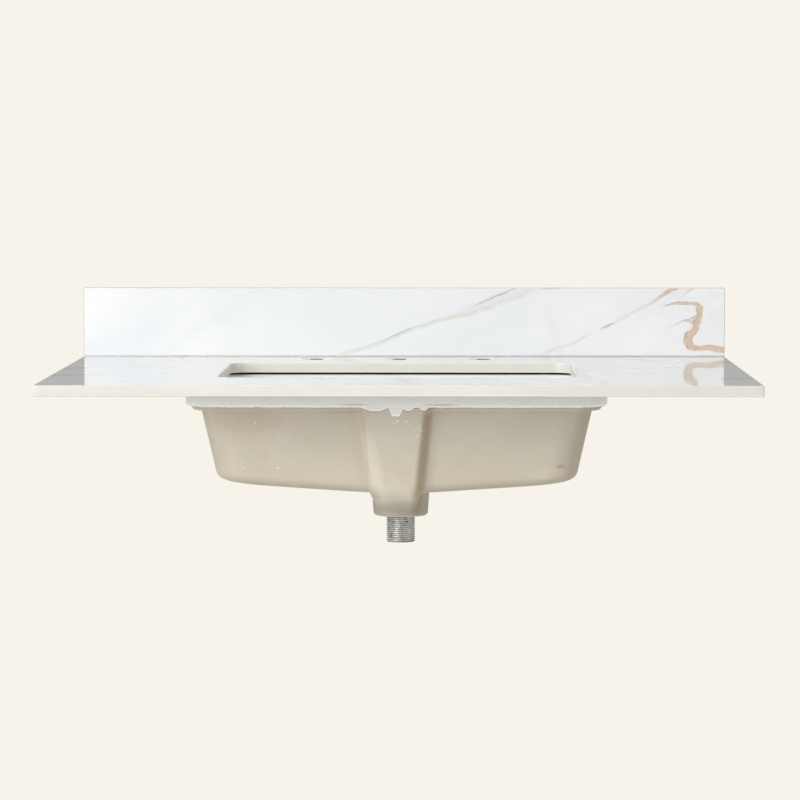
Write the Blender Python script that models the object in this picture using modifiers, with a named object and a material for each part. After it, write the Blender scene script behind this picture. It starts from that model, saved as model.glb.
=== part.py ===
"""Vanity sink top: a thin stone slab with a backsplash, an undermount ceramic basin
with an overflow channel, and a push-button drain with its threaded tail.

Metres, +Z up. The origin lies on the slab's underside, on its middle line, a little in
front of the wall edge. +X is to the right of someone at the basin and +Y points to the wall.
"""

import math

import bmesh
import bpy
from mathutils import Vector

MM = 0.001

# Slab and backsplash
SLAB_WIDTH = 787.4 * MM
SLAB_DEPTH = 558.8 * MM
SLAB_THICKNESS = 12.0 * MM
SLAB_EDGE_EASE = 0.8 * MM
ORIGIN_FROM_WALL = 30.0 * MM
BACKSPLASH_HEIGHT = 83.0 * MM
BACKSPLASH_THICKNESS = 12.0 * MM
BACKSPLASH_EDGE_EASE = 0.6 * MM
BACKSPLASH_BEAD = 0.6 * MM
BACKSPLASH_BEAD_SETBACK = 0.5 * MM
SEAT_GAP = 0.3 * MM

# Openings in the slab
CUTOUT_SET_OVER = -2.5 * MM
BOWL_FROM_WALL = 282.0 * MM
CUTOUT_WIDTH = 403.0 * MM
CUTOUT_DEPTH = 278.0 * MM
CUTOUT_CORNER = 20.0 * MM
FAUCET_SET_OVER = -4.5 * MM
FAUCET_HOLE_COUNT = 3
FAUCET_HOLE_SPACING = 101.6 * MM
FAUCET_HOLE_RADIUS = 17.5 * MM
FAUCET_FROM_WALL = 65.0 * MM

# Basin: flange, bowl and walls
BASIN_BEAD = 1.8 * MM
BASIN_BEAD_MARGIN = 6.0 * MM
CUTOUT_TO_BOWL = 4.5 * MM
CUTOUT_TO_BOWL_SIDE = 9.5 * MM
BOWL_CORNER = 30.0 * MM
BOWL_WALL = 10.0 * MM
BOWL_LIP = 3.0 * MM
BOWL_EDGE_DEPTH = 95.9 * MM
WALL_LEAN = 18.0 * MM
BODY_WALL_AT_RIM = 13.3 * MM
BODY_LEAN = 23.0 * MM
BODY_SET_OVER = -3.2 * MM
SET_OVER_START = 60.0 * MM
SET_OVER_RUN = 90.0 * MM
FLOOR_FALL_X = 0.066
FLOOR_FALL_Y = 0.020
FLOOR_VALLEY_ROUND = 20.0 * MM
CORNER_UP_WALL = 12.0 * MM
CORNER_ALONG_FLOOR = 0.15
FLANGE_REACH = 11.9 * MM
FLANGE_CORNER = 45.0 * MM
FLANGE_HEIGHT = 18.5 * MM
FLANGE_LOWER_EDGE = 6.0 * MM
FLANGE_UPPER_EDGE = 2.0 * MM
FLANGE_UNDERSIDE_DROP = 3.5 * MM
FLANGE_FILLET = 3.5 * MM

# Basin: the overflow ridge on the front wall. Pairs are to the left and right of the drain's
# middle line: the casting is uneven, steep on its left and sloped on its right.
RIDGE_TOP = (39.5 * MM, 27.0 * MM)
RIDGE_KNEE = (30.5 * MM, 17.5 * MM)
RIDGE_FOOT = (22.0 * MM, 13.0 * MM)
RIDGE_FLARE = (4.0 * MM, 13.0 * MM)
RIDGE_PROUD_AT_TOP = 14.7 * MM
RIDGE_PROUD_AT_KNEE = 14.7 * MM
RIDGE_UNDER_FLOOR = 3.0 * MM
RIDGE_ABOVE_BOSS_BOTTOM = 9.0 * MM
RIDGE_SKIN = 7.0 * MM

# Basin: the overflow channel inside the ridge, and its slot in the bowl
CHANNEL_SET_OVER = -3.5 * MM
CHANNEL_WIDTH = 40.0 * MM
CHANNEL_FOOT_WIDTH = 22.0 * MM
CHANNEL_THICKNESS = 9.0 * MM
CHANNEL_FOOT_THICKNESS = 6.0 * MM
SLOT_WIDTH = 34.0 * MM
SLOT_HEIGHT = 9.0 * MM
SLOT_BELOW_RIM = 32.0 * MM
SLOT_END_ROUND = 0.48 * SLOT_HEIGHT

# Basin: drain boss, its middle line a little to the right of the cut-out's
DRAIN_SET_OVER = -0.5 * MM
BOSS_TOP_RADIUS = 33.5 * MM
BOSS_BOTTOM_RADIUS = 31.5 * MM
BOSS_FILLET = 5.0 * MM
BOSS_EDGE = 4.0 * MM
BOSS_HEIGHT = 34.0 * MM
DRAIN_RECESS_RADIUS = 32.5 * MM
DRAIN_RECESS_DEPTH = 2.6 * MM
DRAIN_RECESS_LIP = 1.2 * MM
DRAIN_BORE_RADIUS = 22.0 * MM
NUT_RECESS_RADIUS = 25.0 * MM
NUT_RECESS_DEPTH = 14.0 * MM

# Drain: the flange screws down on the body's top, and the threaded tail up into its foot
DRAIN_FLANGE_RADIUS = 31.5 * MM
DRAIN_FLANGE_RIM = 2.2 * MM
FLANGE_GASKET = 1.5 * MM
DISH_DEPTH = 3.1 * MM
THROAT_ROUND = 3.5 * MM
THROAT_LENGTH = 0.5 * MM
COLLAR_WALL = 1.6 * MM
COLLAR_LENGTH = 8.5 * MM
BARREL_RADIUS = 19.5 * MM
BARREL_WALL = 2.6 * MM
BARREL_LENGTH = 24.0 * MM
BARREL_WINDOW_COUNT = 4
BARREL_WINDOW_WIDTH = 12.0 * MM
BARREL_WINDOW_HEIGHT = 8.0 * MM
TAIL_RADIUS = 16.6 * MM
TAIL_WALL = 2.4 * MM
TAIL_BELOW_BOSS = 30.5 * MM
TAIL_CHAMFER = 0.8 * MM
TAIL_SOCKET = 6.0 * MM
CROSS_BAR_WIDTH = 5.0 * MM
CROSS_BAR_HEIGHT = 6.0 * MM
HUB_RADIUS = 6.5 * MM

# Rings and nut under the boss
CONE_GASKET_RISE = 3.6 * MM
CONE_GASKET_RIM = 3.2 * MM
CONE_GASKET_TAPER = 2.0 * MM
SLIP_WASHER = 1.4 * MM
NUT_THICKNESS = 7.0 * MM
NUT_CHAMFER = 0.6 * MM

# Push cartridge and stopper
STOPPER_TRAVEL = 9.5 * MM
CARTRIDGE_RADIUS = 8.5 * MM
CARTRIDGE_WALL = 1.5 * MM
CARTRIDGE_LENGTH = 40.0 * MM
CARTRIDGE_FLOOR = 2.7 * MM
STUD_RADIUS = 3.0 * MM
STUD_BELOW_BAR = 2.2 * MM
TOP_NUT_HEAD = 2.5 * MM
TOP_NUT_SPIGOT = 2.5 * MM
TOP_NUT_RADIUS = 9.5 * MM
STEM_RADIUS = 3.2 * MM
STEM_SHOULDER_RADIUS = 4.0 * MM
STEM_HEAD_LENGTH = 3.0 * MM
STEM_PIN_RADIUS = 2.2 * MM
STEM_PIN_LENGTH = 8.0 * MM
ROTOR_LENGTH = 3.2 * MM
ROTOR_LUG_COUNT = 4
ROTOR_LUG_WIDTH = 2.2 * MM
ROTOR_LUG_REACH = 1.0 * MM
SPRING_WIRE_RADIUS = 0.55 * MM
SPRING_TURNS = 8
CAP_RADIUS = 28.5 * MM
CAP_DOME = 3.6 * MM
CAP_RIM = 2.4 * MM
CAP_SOCKET_DEPTH = 6.5 * MM
CAP_SOCKET_WALL = 3.2 * MM
SPIGOT_RADIUS = 15.2 * MM
SPIGOT_LIP = 1.2 * MM
SEAL_WIDTH = 7.0 * MM
SEAL_THICKNESS = 2.6 * MM
RUNNING_GAP = 0.4 * MM
SLIDE_CLEARANCE = 0.6 * MM

# Facets
TURN_STEPS = 40
SMALL_TURN_STEPS = 24
CORNER_STEPS = 5
SIDE_STEPS = 5
BACK_STEPS = 8
RUN_STEPS = 4
FLARE_STEPS = 3
CREST_STEPS = 4
SPRING_POINTS_PER_TURN = 10
SLOT_ROUND_STEPS = 4
INNER_CORNER_STEPS = 3
OUTER_CORNER_STEPS = 4
LIP_STEPS = 2
EDGE_ANGLES = (30, 60, 90)

# Where the basin's rings lie, as shares of the way up a wall, from the floor's edge to the
# drain, and up the boss; then where the channel's sections lie along the ridge's crest
INNER_WALL_RINGS = (0.35, 0.65)
OUTER_WALL_RINGS = (0.55, 0.36, 0.22)
FLOOR_RINGS = (0.4, 0.6, 0.8, 1)
BOSS_WALL_RINGS = (0, 0.35, 0.7, 1)
CREST_UP_WALL = (0.4, 0.1)
CREST_TO_BOSS = (0.15, 0.6, 1)
DOME_RINGS = (0, 0.2, 0.4, 0.6, 0.78, 0.92)
THROAT_BREAK = 0.3

# Places that follow from the sizes
WALL_Y = ORIGIN_FROM_WALL
SLAB_CENTRE_Y = WALL_Y - SLAB_DEPTH / 2
BOWL_Y = WALL_Y - BOWL_FROM_WALL
RIM_Z = -(BASIN_BEAD + 2 * SEAT_GAP)
BOWL_HALF_X = CUTOUT_WIDTH / 2 + CUTOUT_TO_BOWL_SIDE
BOWL_HALF_Y = CUTOUT_DEPTH / 2 + CUTOUT_TO_BOWL
BODY_HALF_X = BOWL_HALF_X + BODY_WALL_AT_RIM
BODY_HALF_Y = BOWL_HALF_Y + BODY_WALL_AT_RIM
BODY_CORNER = BOWL_CORNER + BOWL_WALL
FLANGE_HALF_X = BODY_HALF_X + FLANGE_REACH
FLANGE_HALF_Y = BODY_HALF_Y + FLANGE_REACH


def mix(a, b, share):
    return a + (b - a) * share


def ease(share):
    return share * share * (3 - 2 * share)


def rounded_distance(value, radius):
    return math.sqrt(value * value + radius * radius)


def floor_z(x, y, thickness):
    """Height of the bowl's floor, or of its underside, which falls to the drain like a shallow roof."""
    fall_x = FLOOR_FALL_X * (BOWL_HALF_X - WALL_LEAN - rounded_distance(x, FLOOR_VALLEY_ROUND))
    fall_y = FLOOR_FALL_Y * (BOWL_HALF_Y - WALL_LEAN - rounded_distance(y, FLOOR_VALLEY_ROUND))
    return RIM_Z - BOWL_EDGE_DEPTH - thickness - fall_x - fall_y


SEAT_Z = floor_z(0, 0, 0) - DRAIN_RECESS_DEPTH
BOSS_BOTTOM_Z = floor_z(0, 0, BOWL_WALL) - BOSS_HEIGHT
SHOULDER_Z = BOSS_BOTTOM_Z + NUT_RECESS_DEPTH
RIDGE_FOOT_Z = BOSS_BOTTOM_Z + RIDGE_ABOVE_BOSS_BOTTOM
TAIL_BOTTOM_Z = BOSS_BOTTOM_Z - TAIL_BELOW_BOSS

for leftover in list(bpy.data.objects):
    bpy.data.objects.remove(leftover)

parts = bpy.data.collections.new("vanity_sink_top")
cutters = bpy.data.collections.new("cutters")
bpy.context.scene.collection.children.link(parts)
bpy.context.scene.collection.children.link(cutters)

drain_axis = bpy.data.objects.new("drain_axis", None)
drain_axis.location = (DRAIN_SET_OVER, BOWL_Y, 0)
parts.objects.link(drain_axis)


def finish_material(name, colour, roughness, metallic=0.0):
    material = bpy.data.materials.new(name)
    material.use_nodes = True
    shader = material.node_tree.nodes["Principled BSDF"]
    shader.inputs["Base Color"].default_value = (*colour, 1.0)
    shader.inputs["Roughness"].default_value = roughness
    shader.inputs["Metallic"].default_value = metallic
    return material


stone = finish_material("white_stone", (0.87, 0.88, 0.89), 0.12)
ceramic = finish_material("basin_ceramic", (0.62, 0.56, 0.46), 0.45)
silicone = finish_material("clear_bead", (0.35, 0.33, 0.28), 0.4)
plated = finish_material("plated_brass", (0.62, 0.62, 0.60), 0.22, 1.0)
chrome = finish_material("stopper_chrome", (0.80, 0.80, 0.81), 0.08, 1.0)
black_rubber = finish_material("black_rubber", (0.04, 0.04, 0.04), 0.7)
white_rubber = finish_material("white_rubber", (0.75, 0.74, 0.70), 0.6)
white_plastic = finish_material("white_plastic", (0.80, 0.80, 0.78), 0.4)
spring_steel = finish_material("spring_steel", (0.55, 0.55, 0.56), 0.25, 1.0)


def add_object(name, data, material=None, parent=None, hidden=False):
    item = bpy.data.objects.new(name, data)
    (cutters if hidden else parts).objects.link(item)
    if hidden:
        item.hide_render = True
        item.display_type = "WIRE"
    if material:
        data.materials.append(material)
    item.parent = parent
    return item


def mesh_from(name, build):
    """A mesh that the given function fills, with its normals turned out."""
    shape = bmesh.new()
    build(shape)
    bmesh.ops.recalc_face_normals(shape, faces=shape.faces)
    mesh = bpy.data.meshes.new(name)
    shape.to_mesh(mesh)
    shape.free()
    return mesh


def block(size, centre=(0, 0, 0)):
    """A box primitive of the given size, as a function that fills a mesh."""

    def build(shape):
        bmesh.ops.create_cube(shape, size=1.0)
        bmesh.ops.scale(shape, vec=Vector(size), verts=shape.verts)
        bmesh.ops.translate(shape, vec=Vector(centre), verts=shape.verts)

    return build


def drum(radius, low_z, high_z, segments=TURN_STEPS):
    """A cylinder primitive between two heights, as a function that fills a mesh."""

    def build(shape):
        bmesh.ops.create_cone(
            shape, cap_ends=True, segments=segments, radius1=radius, radius2=radius, depth=high_z - low_z
        )
        bmesh.ops.translate(shape, vec=Vector((0, 0, (low_z + high_z) / 2)), verts=shape.verts)

    return build


def cut(item, tool, operation="DIFFERENCE"):
    modifier = item.modifiers.new(f"{operation.lower()}_{tool.name}", "BOOLEAN")
    modifier.operation = operation
    modifier.object = tool
    modifier.solver = "EXACT"


def round_edges(item, width, segments=1, angle=40):
    modifier = item.modifiers.new("eased_edges", "BEVEL")
    modifier.width = width
    modifier.segments = segments
    modifier.limit_method = "ANGLE"
    modifier.angle_limit = math.radians(angle)


def turned(name, profile, material=None, steps=TURN_STEPS, hidden=False):
    """A shape turned round the drain's axis from (radius, height) points that run down its
    outer side. A profile whose ends are off the axis closes on itself as a ring."""
    mesh = bpy.data.meshes.new(name)
    count = len(profile)
    edges = [(i, i + 1) for i in range(count - 1)]
    if profile[0][0] > 0:
        edges.append((count - 1, 0))
    mesh.from_pydata([(radius, 0, z) for radius, z in profile], edges, [])
    item = add_object(name, mesh, material, drain_axis, hidden)
    screw = item.modifiers.new("turn", "SCREW")
    screw.axis = "Z"
    screw.angle = 2 * math.pi
    screw.steps = steps
    screw.render_steps = steps
    screw.use_merge_vertices = True
    screw.merge_threshold = 0.00001
    screw.use_smooth_shade = True
    return item


def rounded_outline(half_x, half_y, corner):
    """Points round a rectangle with arcs at its corners, counter-clockwise."""
    points = []
    for quarter, (side_x, side_y) in enumerate(((1, 1), (-1, 1), (-1, -1), (1, -1))):
        for step in range(CORNER_STEPS + 1):
            angle = math.radians(90) * (quarter + step / CORNER_STEPS)
            x = side_x * (half_x - corner) + corner * math.cos(angle)
            y = side_y * (half_y - corner) + corner * math.sin(angle)
            points.append((x, y))
    return points


def circle_outline(radius, centre_x, centre_y, steps):
    angles = [2 * math.pi * step / steps for step in range(steps)]
    return [(centre_x + radius * math.cos(a), centre_y + radius * math.sin(a)) for a in angles]


def plate(name, outlines, thickness, edge, material):
    """A flat plate between closed outlines, the first its edge and the others its holes."""
    curve = bpy.data.curves.new(name, "CURVE")
    curve.dimensions = "2D"
    curve.fill_mode = "BOTH"
    curve.extrude = thickness / 2 - edge
    curve.bevel_depth = edge
    curve.bevel_resolution = 1
    curve.offset = -edge
    for outline in outlines:
        spline = curve.splines.new("POLY")
        spline.points.add(len(outline) - 1)
        for point, (x, y) in zip(spline.points, outline):
            point.co = (x, y, 0, 1)
        spline.use_cyclic_u = True
    return add_object(name, curve, material)


# Slab, with the basin's cut-out and a row of faucet holes behind it
faucet_y = WALL_Y - FAUCET_FROM_WALL - SLAB_CENTRE_Y
faucet_holes = []
for index in range(FAUCET_HOLE_COUNT):
    across = FAUCET_SET_OVER + (index - (FAUCET_HOLE_COUNT - 1) / 2) * FAUCET_HOLE_SPACING
    faucet_holes.append(circle_outline(FAUCET_HOLE_RADIUS, across, faucet_y, TURN_STEPS))
slab_edge = [
    (-SLAB_WIDTH / 2, -SLAB_DEPTH / 2),
    (SLAB_WIDTH / 2, -SLAB_DEPTH / 2),
    (SLAB_WIDTH / 2, SLAB_DEPTH / 2),
    (-SLAB_WIDTH / 2, SLAB_DEPTH / 2),
]
cutout_edge = [
    (x + CUTOUT_SET_OVER, y + BOWL_Y - SLAB_CENTRE_Y)
    for x, y in rounded_outline(CUTOUT_WIDTH / 2, CUTOUT_DEPTH / 2, CUTOUT_CORNER)
]
slab_outlines = [slab_edge, cutout_edge, *faucet_holes]
slab = plate("countertop_slab", slab_outlines, SLAB_THICKNESS, SLAB_EDGE_EASE, stone)
slab.location = (0, SLAB_CENTRE_Y, SLAB_THICKNESS / 2)

# Backsplash and the bead that it stands on
bead_size = (
    SLAB_WIDTH - 2 * BACKSPLASH_BEAD_SETBACK,
    BACKSPLASH_THICKNESS - 2 * BACKSPLASH_BEAD_SETBACK,
    BACKSPLASH_BEAD,
)
backsplash_bead_mesh = mesh_from("backsplash_sealant", block(bead_size))
backsplash_bead = add_object("backsplash_sealant", backsplash_bead_mesh, silicone)
backsplash_y = WALL_Y - BACKSPLASH_THICKNESS / 2
backsplash_bead.location = (0, backsplash_y, SLAB_THICKNESS + SEAT_GAP + BACKSPLASH_BEAD / 2)
strip_size = (SLAB_WIDTH, BACKSPLASH_THICKNESS, BACKSPLASH_HEIGHT)
backsplash = add_object("backsplash", mesh_from("backsplash", block(strip_size)), stone)
strip_foot = SLAB_THICKNESS + 2 * SEAT_GAP + BACKSPLASH_BEAD
backsplash.location = (0, backsplash_y, strip_foot + BACKSPLASH_HEIGHT / 2)
round_edges(backsplash, BACKSPLASH_EDGE_EASE)

# Bead between the slab's underside and the basin's flange
bead_inside = rounded_outline(BOWL_HALF_X + BASIN_BEAD_MARGIN, BOWL_HALF_Y + BASIN_BEAD_MARGIN, BOWL_CORNER)
bead_outside = rounded_outline(
    FLANGE_HALF_X - BASIN_BEAD_MARGIN, FLANGE_HALF_Y - BASIN_BEAD_MARGIN, FLANGE_CORNER - BASIN_BEAD_MARGIN
)
basin_bead = plate("basin_sealant", [bead_outside, bead_inside], BASIN_BEAD, SEAT_GAP, silicone)
basin_bead.location = (DRAIN_SET_OVER + BODY_SET_OVER, BOWL_Y, -SEAT_GAP - BASIN_BEAD / 2)


# Basin: closed rings of matching points are lofted from the drain's seat up the inside of the
# bowl, over the rim and the flange, down the outside and the ridge, and back up the drain bore.
def front_stations(half_run, ridge):
    """X and ridge share of points along the front side, from left to right."""
    left, right = ridge
    knots = (
        (-half_run, 0, RUN_STEPS),
        (-left - RIDGE_FLARE[0], 0, FLARE_STEPS),
        (-left, 1, CREST_STEPS),
        (right, 1, FLARE_STEPS),
        (right + RIDGE_FLARE[1], 0, RUN_STEPS),
        (half_run, 0, 0),
    )
    stations = []
    for (x, raised, steps), (next_x, next_raised, _) in zip(knots, knots[1:]):
        for step in range(steps):
            share = step / steps
            stations.append((mix(x, next_x, share), mix(raised, next_raised, ease(share))))
    return stations


def set_over(x):
    """How far the casting stands to the left of the drain's middle line, a distance to its side."""
    return BODY_SET_OVER * min(1.0, max(0.0, (abs(x) - SET_OVER_START) / SET_OVER_RUN))


def ring_outline(half_x, half_y, corner, ridge):
    """Points (x, y, ridge share) round a rounded rectangle, counter-clockwise from the front left."""
    run_x, run_y = half_x - corner, half_y - corner
    points = [(x, -half_y, raised) for x, raised in front_stations(run_x, ridge)]

    def add_corner(centre_x, centre_y, start):
        for step in range(CORNER_STEPS):
            angle = math.radians(start + 90 * step / CORNER_STEPS)
            points.append((centre_x + corner * math.cos(angle), centre_y + corner * math.sin(angle), 0))

    def add_side(start, end, steps):
        for step in range(steps):
            share = step / steps
            points.append((mix(start[0], end[0], share), mix(start[1], end[1], share), 0))

    add_corner(run_x, -run_y, -90)
    add_side((half_x, -run_y), (half_x, run_y), SIDE_STEPS)
    add_corner(run_x, run_y, 0)
    add_side((run_x, half_y), (-run_x, half_y), BACK_STEPS)
    add_corner(-run_x, run_y, 90)
    add_side((-half_x, run_y), (-half_x, -run_y), SIDE_STEPS)
    add_corner(-run_x, -run_y, 180)
    return [(x + set_over(x), y, raised) for x, y, raised in points]


def circle_angles():
    """An angle for each ring point: the ridge's own points keep their X on the boss, and the
    others share the rest of the circle by their distance along the body's outline."""
    points = ring_outline(BODY_HALF_X, BODY_HALF_Y, BODY_CORNER, RIDGE_FOOT)
    first, last = RUN_STEPS, RUN_STEPS + 2 * FLARE_STEPS + CREST_STEPS
    angles = {}
    for index in range(first, last + 1):
        angles[index] = math.asin(points[index][0] / BOSS_TOP_RADIUS) - math.pi / 2
    order = [*range(last, len(points)), *range(first + 1)]
    steps = [math.dist(points[a][:2], points[b][:2]) for a, b in zip(order, order[1:])]
    start, end = angles[last], angles[first] + 2 * math.pi
    covered = 0.0
    for index, step in zip(order[1:-1], steps):
        covered += step
        angles[index] = mix(start, end, covered / sum(steps))
    return [angles[index] for index in range(len(points))]


DRAIN_ANGLES = circle_angles()


def drain_circle(radius):
    return [(radius * math.cos(angle), radius * math.sin(angle)) for angle in DRAIN_ANGLES]


def circle_ring(radius, z):
    return [Vector((x, y, z)) for x, y in drain_circle(radius)]


def curved(start, corner, end, share):
    return start.lerp(corner, share).lerp(corner.lerp(end, share), share)


def shares(steps):
    """Shares of the way strictly between 0 and 1."""
    return [step / (steps + 1) for step in range(1, steps + 1)]


def wall_halves(up_from_edge, wall):
    """Half the wall's length and depth, a share of the way up from the bottom edge to the rim's
    plane. Where wall is 0 this is the bowl's inside, and otherwise its outside."""
    if wall:
        lean = BODY_LEAN * (1 - up_from_edge)
        return BODY_HALF_X - lean, BODY_HALF_Y - lean
    lean = WALL_LEAN * (1 - up_from_edge)
    return BOWL_HALF_X - lean, BOWL_HALF_Y - lean


def bowl_wall_ring(up_from_edge, wall, raised=True):
    """A ring on the wall, a share of the way up from the bottom edge to the rim's plane. The
    ridge stands proud of the outer wall."""
    half_x, half_y = wall_halves(up_from_edge, wall)
    ridge = tuple(mix(knee, top, up_from_edge) for knee, top in zip(RIDGE_KNEE, RIDGE_TOP))
    proud = mix(RIDGE_PROUD_AT_KNEE, RIDGE_PROUD_AT_TOP, up_from_edge) if raised else 0
    ring = []
    for x, y, share in ring_outline(half_x, half_y, BOWL_CORNER + wall, ridge):
        z = mix(floor_z(x, y, wall), RIM_Z, up_from_edge)
        ring.append(Vector((x, y - proud * share, z)))
    return ring


def floor_ring(toward_drain, wall, inner_radius):
    """A ring on the floor, a share of the way from its edge to the drain. Under the floor the
    ridge hangs lower towards its foot on the boss."""
    half_x, half_y = wall_halves(0, wall)
    edge = ring_outline(half_x, half_y, BOWL_CORNER + wall, RIDGE_KNEE)
    ring = []
    for (edge_x, edge_y, share), (drain_x, drain_y) in zip(edge, drain_circle(inner_radius)):
        x, y = mix(edge_x, drain_x, toward_drain), mix(edge_y, drain_y, toward_drain)
        z = floor_z(x, y, wall)
        if wall:
            crest_start = floor_z(x, -half_y, wall) - RIDGE_UNDER_FLOOR
            z = mix(z, mix(crest_start, RIDGE_FOOT_Z, toward_drain), share)
        ring.append(Vector((x, y, z)))
    return ring


def bottom_corner_rings(wall, inner_radius, steps):
    """Rings that turn from the wall into the floor, in that order."""
    wall_height = RIM_Z - floor_z(BOWL_HALF_X, 0, wall)
    start = bowl_wall_ring(CORNER_UP_WALL / wall_height, wall, wall > 0)
    edge_wall = bowl_wall_ring(0, wall, wall > 0)
    edge_floor = floor_ring(0, wall, inner_radius)
    corner = [Vector((a.x, a.y, b.z)) for a, b in zip(edge_wall, edge_floor)]
    end = floor_ring(CORNER_ALONG_FLOOR, wall, inner_radius)
    rings = [start]
    for share in shares(steps):
        rings.append([curved(a, b, c, share) for a, b, c in zip(start, corner, end)])
    rings.append(end)
    return rings


def crest_y(up_from_edge):
    """Y of the ridge's crest, a share of the way up from the bottom edge to the rim's plane."""
    wall_y = wall_halves(up_from_edge, BOWL_WALL)[1]
    return -wall_y - mix(RIDGE_PROUD_AT_KNEE, RIDGE_PROUD_AT_TOP, up_from_edge)


def flange_ring(inset, z, raised=0.0):
    """A ring between the flange's outline and the body's, moved in by inset. The ridge runs up
    into the flange: where raised is 1, its points lie on the crest."""
    share = inset / FLANGE_REACH
    outer = ring_outline(FLANGE_HALF_X, FLANGE_HALF_Y, FLANGE_CORNER, RIDGE_TOP)
    inner = ring_outline(BODY_HALF_X, BODY_HALF_Y, BODY_CORNER, RIDGE_TOP)
    crest = crest_y(1 - (RIM_Z - z) / (BOWL_EDGE_DEPTH + BOWL_WALL))
    ring = []
    for (ax, ay, lift), (bx, by, _) in zip(outer, inner):
        x, y = mix(ax, bx, share), mix(ay, by, share)
        ring.append(Vector((x, mix(y, crest, lift * raised), z)))
    return ring


def rim_ring(out_from_bowl, z):
    """A ring on the rim's top, a share of the way from the bowl's edge to the flange's outline."""
    inner = ring_outline(BOWL_HALF_X, BOWL_HALF_Y, BOWL_CORNER, RIDGE_TOP)
    outer = ring_outline(FLANGE_HALF_X, FLANGE_HALF_Y, FLANGE_CORNER, RIDGE_TOP)
    ring = []
    for (ax, ay, _), (bx, by, _) in zip(inner, outer):
        ring.append(Vector((mix(ax, bx, out_from_bowl), mix(ay, by, out_from_bowl), z)))
    return ring


def boss_rings(floor_edge):
    """Rings from the floor's underside down the drain boss, to the edge of the nut's recess."""
    wall_foot_z = BOSS_BOTTOM_Z + BOSS_EDGE
    floor_level = floor_z(0, 0, BOWL_WALL)
    tops = []
    for (x, y), edge in zip(drain_circle(BOSS_TOP_RADIUS), floor_edge):
        fillet = min(BOSS_FILLET, (edge.z - wall_foot_z) / 2)
        tops.append(Vector((x, y, edge.z - fillet)))
    corners = [Vector((top.x, top.y, edge.z)) for top, edge in zip(tops, floor_edge)]
    rings = [[curved(a, b, c, 0.5) for a, b, c in zip(floor_edge, corners, tops)]]
    for share in BOSS_WALL_RINGS:
        ring = []
        for top in tops:
            z = mix(top.z, wall_foot_z, share)
            up_boss = (z - wall_foot_z) / (floor_level - wall_foot_z)
            radius = mix(BOSS_BOTTOM_RADIUS, BOSS_TOP_RADIUS, up_boss)
            ring.append(Vector((top.x, top.y, 0)).normalized() * radius + Vector((0, 0, z)))
        rings.append(ring)
    for angle in EDGE_ANGLES:
        turn = math.radians(angle)
        radius = BOSS_BOTTOM_RADIUS - BOSS_EDGE * (1 - math.cos(turn))
        rings.append(circle_ring(radius, wall_foot_z - BOSS_EDGE * math.sin(turn)))
    return rings


def basin_rings():
    recess_edge = DRAIN_RECESS_RADIUS + DRAIN_RECESS_LIP
    inner_floor = [floor_ring(share, 0, recess_edge) for share in reversed(FLOOR_RINGS)]
    lip_start = []
    for x, y in drain_circle(DRAIN_RECESS_RADIUS):
        lip_start.append(Vector((x, y, floor_z(x, y, 0) - DRAIN_RECESS_LIP)))
    rings = [circle_ring(DRAIN_BORE_RADIUS, SEAT_Z), circle_ring(DRAIN_RECESS_RADIUS, SEAT_Z), lip_start]
    rings += inner_floor
    rings += reversed(bottom_corner_rings(0, recess_edge, INNER_CORNER_STEPS))
    lip_share = 1 - BOWL_LIP / (BOWL_EDGE_DEPTH + BOWL_LIP)
    rings += [bowl_wall_ring(share, 0, False) for share in (*INNER_WALL_RINGS, lip_share)]
    rim_width = FLANGE_HALF_X - BOWL_HALF_X
    lip_top = rim_ring(BOWL_LIP / rim_width, RIM_Z)
    lip_corner = rim_ring(0, RIM_Z)
    lip_foot = rings[-1]
    for share in shares(LIP_STEPS):
        rings.append([curved(a, b, c, share) for a, b, c in zip(lip_foot, lip_corner, lip_top)])
    rings += [lip_top, rim_ring(1 - FLANGE_UPPER_EDGE / rim_width, RIM_Z)]
    chamfer = FLANGE_UPPER_EDGE * (1 - math.cos(math.radians(45)))
    rings += [flange_ring(chamfer, RIM_Z - chamfer), flange_ring(0, RIM_Z - FLANGE_UPPER_EDGE)]
    flange_foot = RIM_Z - FLANGE_HEIGHT
    for angle in (0, *EDGE_ANGLES):
        turn = math.radians(angle)
        inset = FLANGE_LOWER_EDGE * (1 - math.cos(turn))
        z = flange_foot + FLANGE_LOWER_EDGE * (1 - math.sin(turn))
        rings.append(flange_ring(inset, z, math.sin(turn)))
    underside_end = flange_ring(FLANGE_REACH - FLANGE_FILLET, flange_foot - FLANGE_UNDERSIDE_DROP, 1)
    wall_height = BOWL_EDGE_DEPTH + BOWL_WALL
    below_rim = FLANGE_HEIGHT + FLANGE_UNDERSIDE_DROP
    corner = bowl_wall_ring(1 - (below_rim + FLANGE_FILLET / 4) / wall_height, BOWL_WALL)
    wall_start = bowl_wall_ring(1 - (below_rim + FLANGE_FILLET) / wall_height, BOWL_WALL)
    rings.append(underside_end)
    rings.append([curved(a, b, c, 0.5) for a, b, c in zip(underside_end, corner, wall_start)])
    rings.append(wall_start)
    rings += [bowl_wall_ring(share, BOWL_WALL) for share in OUTER_WALL_RINGS]
    boss_edge = BOSS_TOP_RADIUS + BOSS_FILLET
    rings += bottom_corner_rings(BOWL_WALL, boss_edge, OUTER_CORNER_STEPS)
    rings += [floor_ring(share, BOWL_WALL, boss_edge) for share in FLOOR_RINGS]
    rings += boss_rings(rings[-1])
    rings += [circle_ring(NUT_RECESS_RADIUS, BOSS_BOTTOM_Z), circle_ring(NUT_RECESS_RADIUS, SHOULDER_Z)]
    rings.append(circle_ring(DRAIN_BORE_RADIUS, SHOULDER_Z))
    return rings


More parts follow.
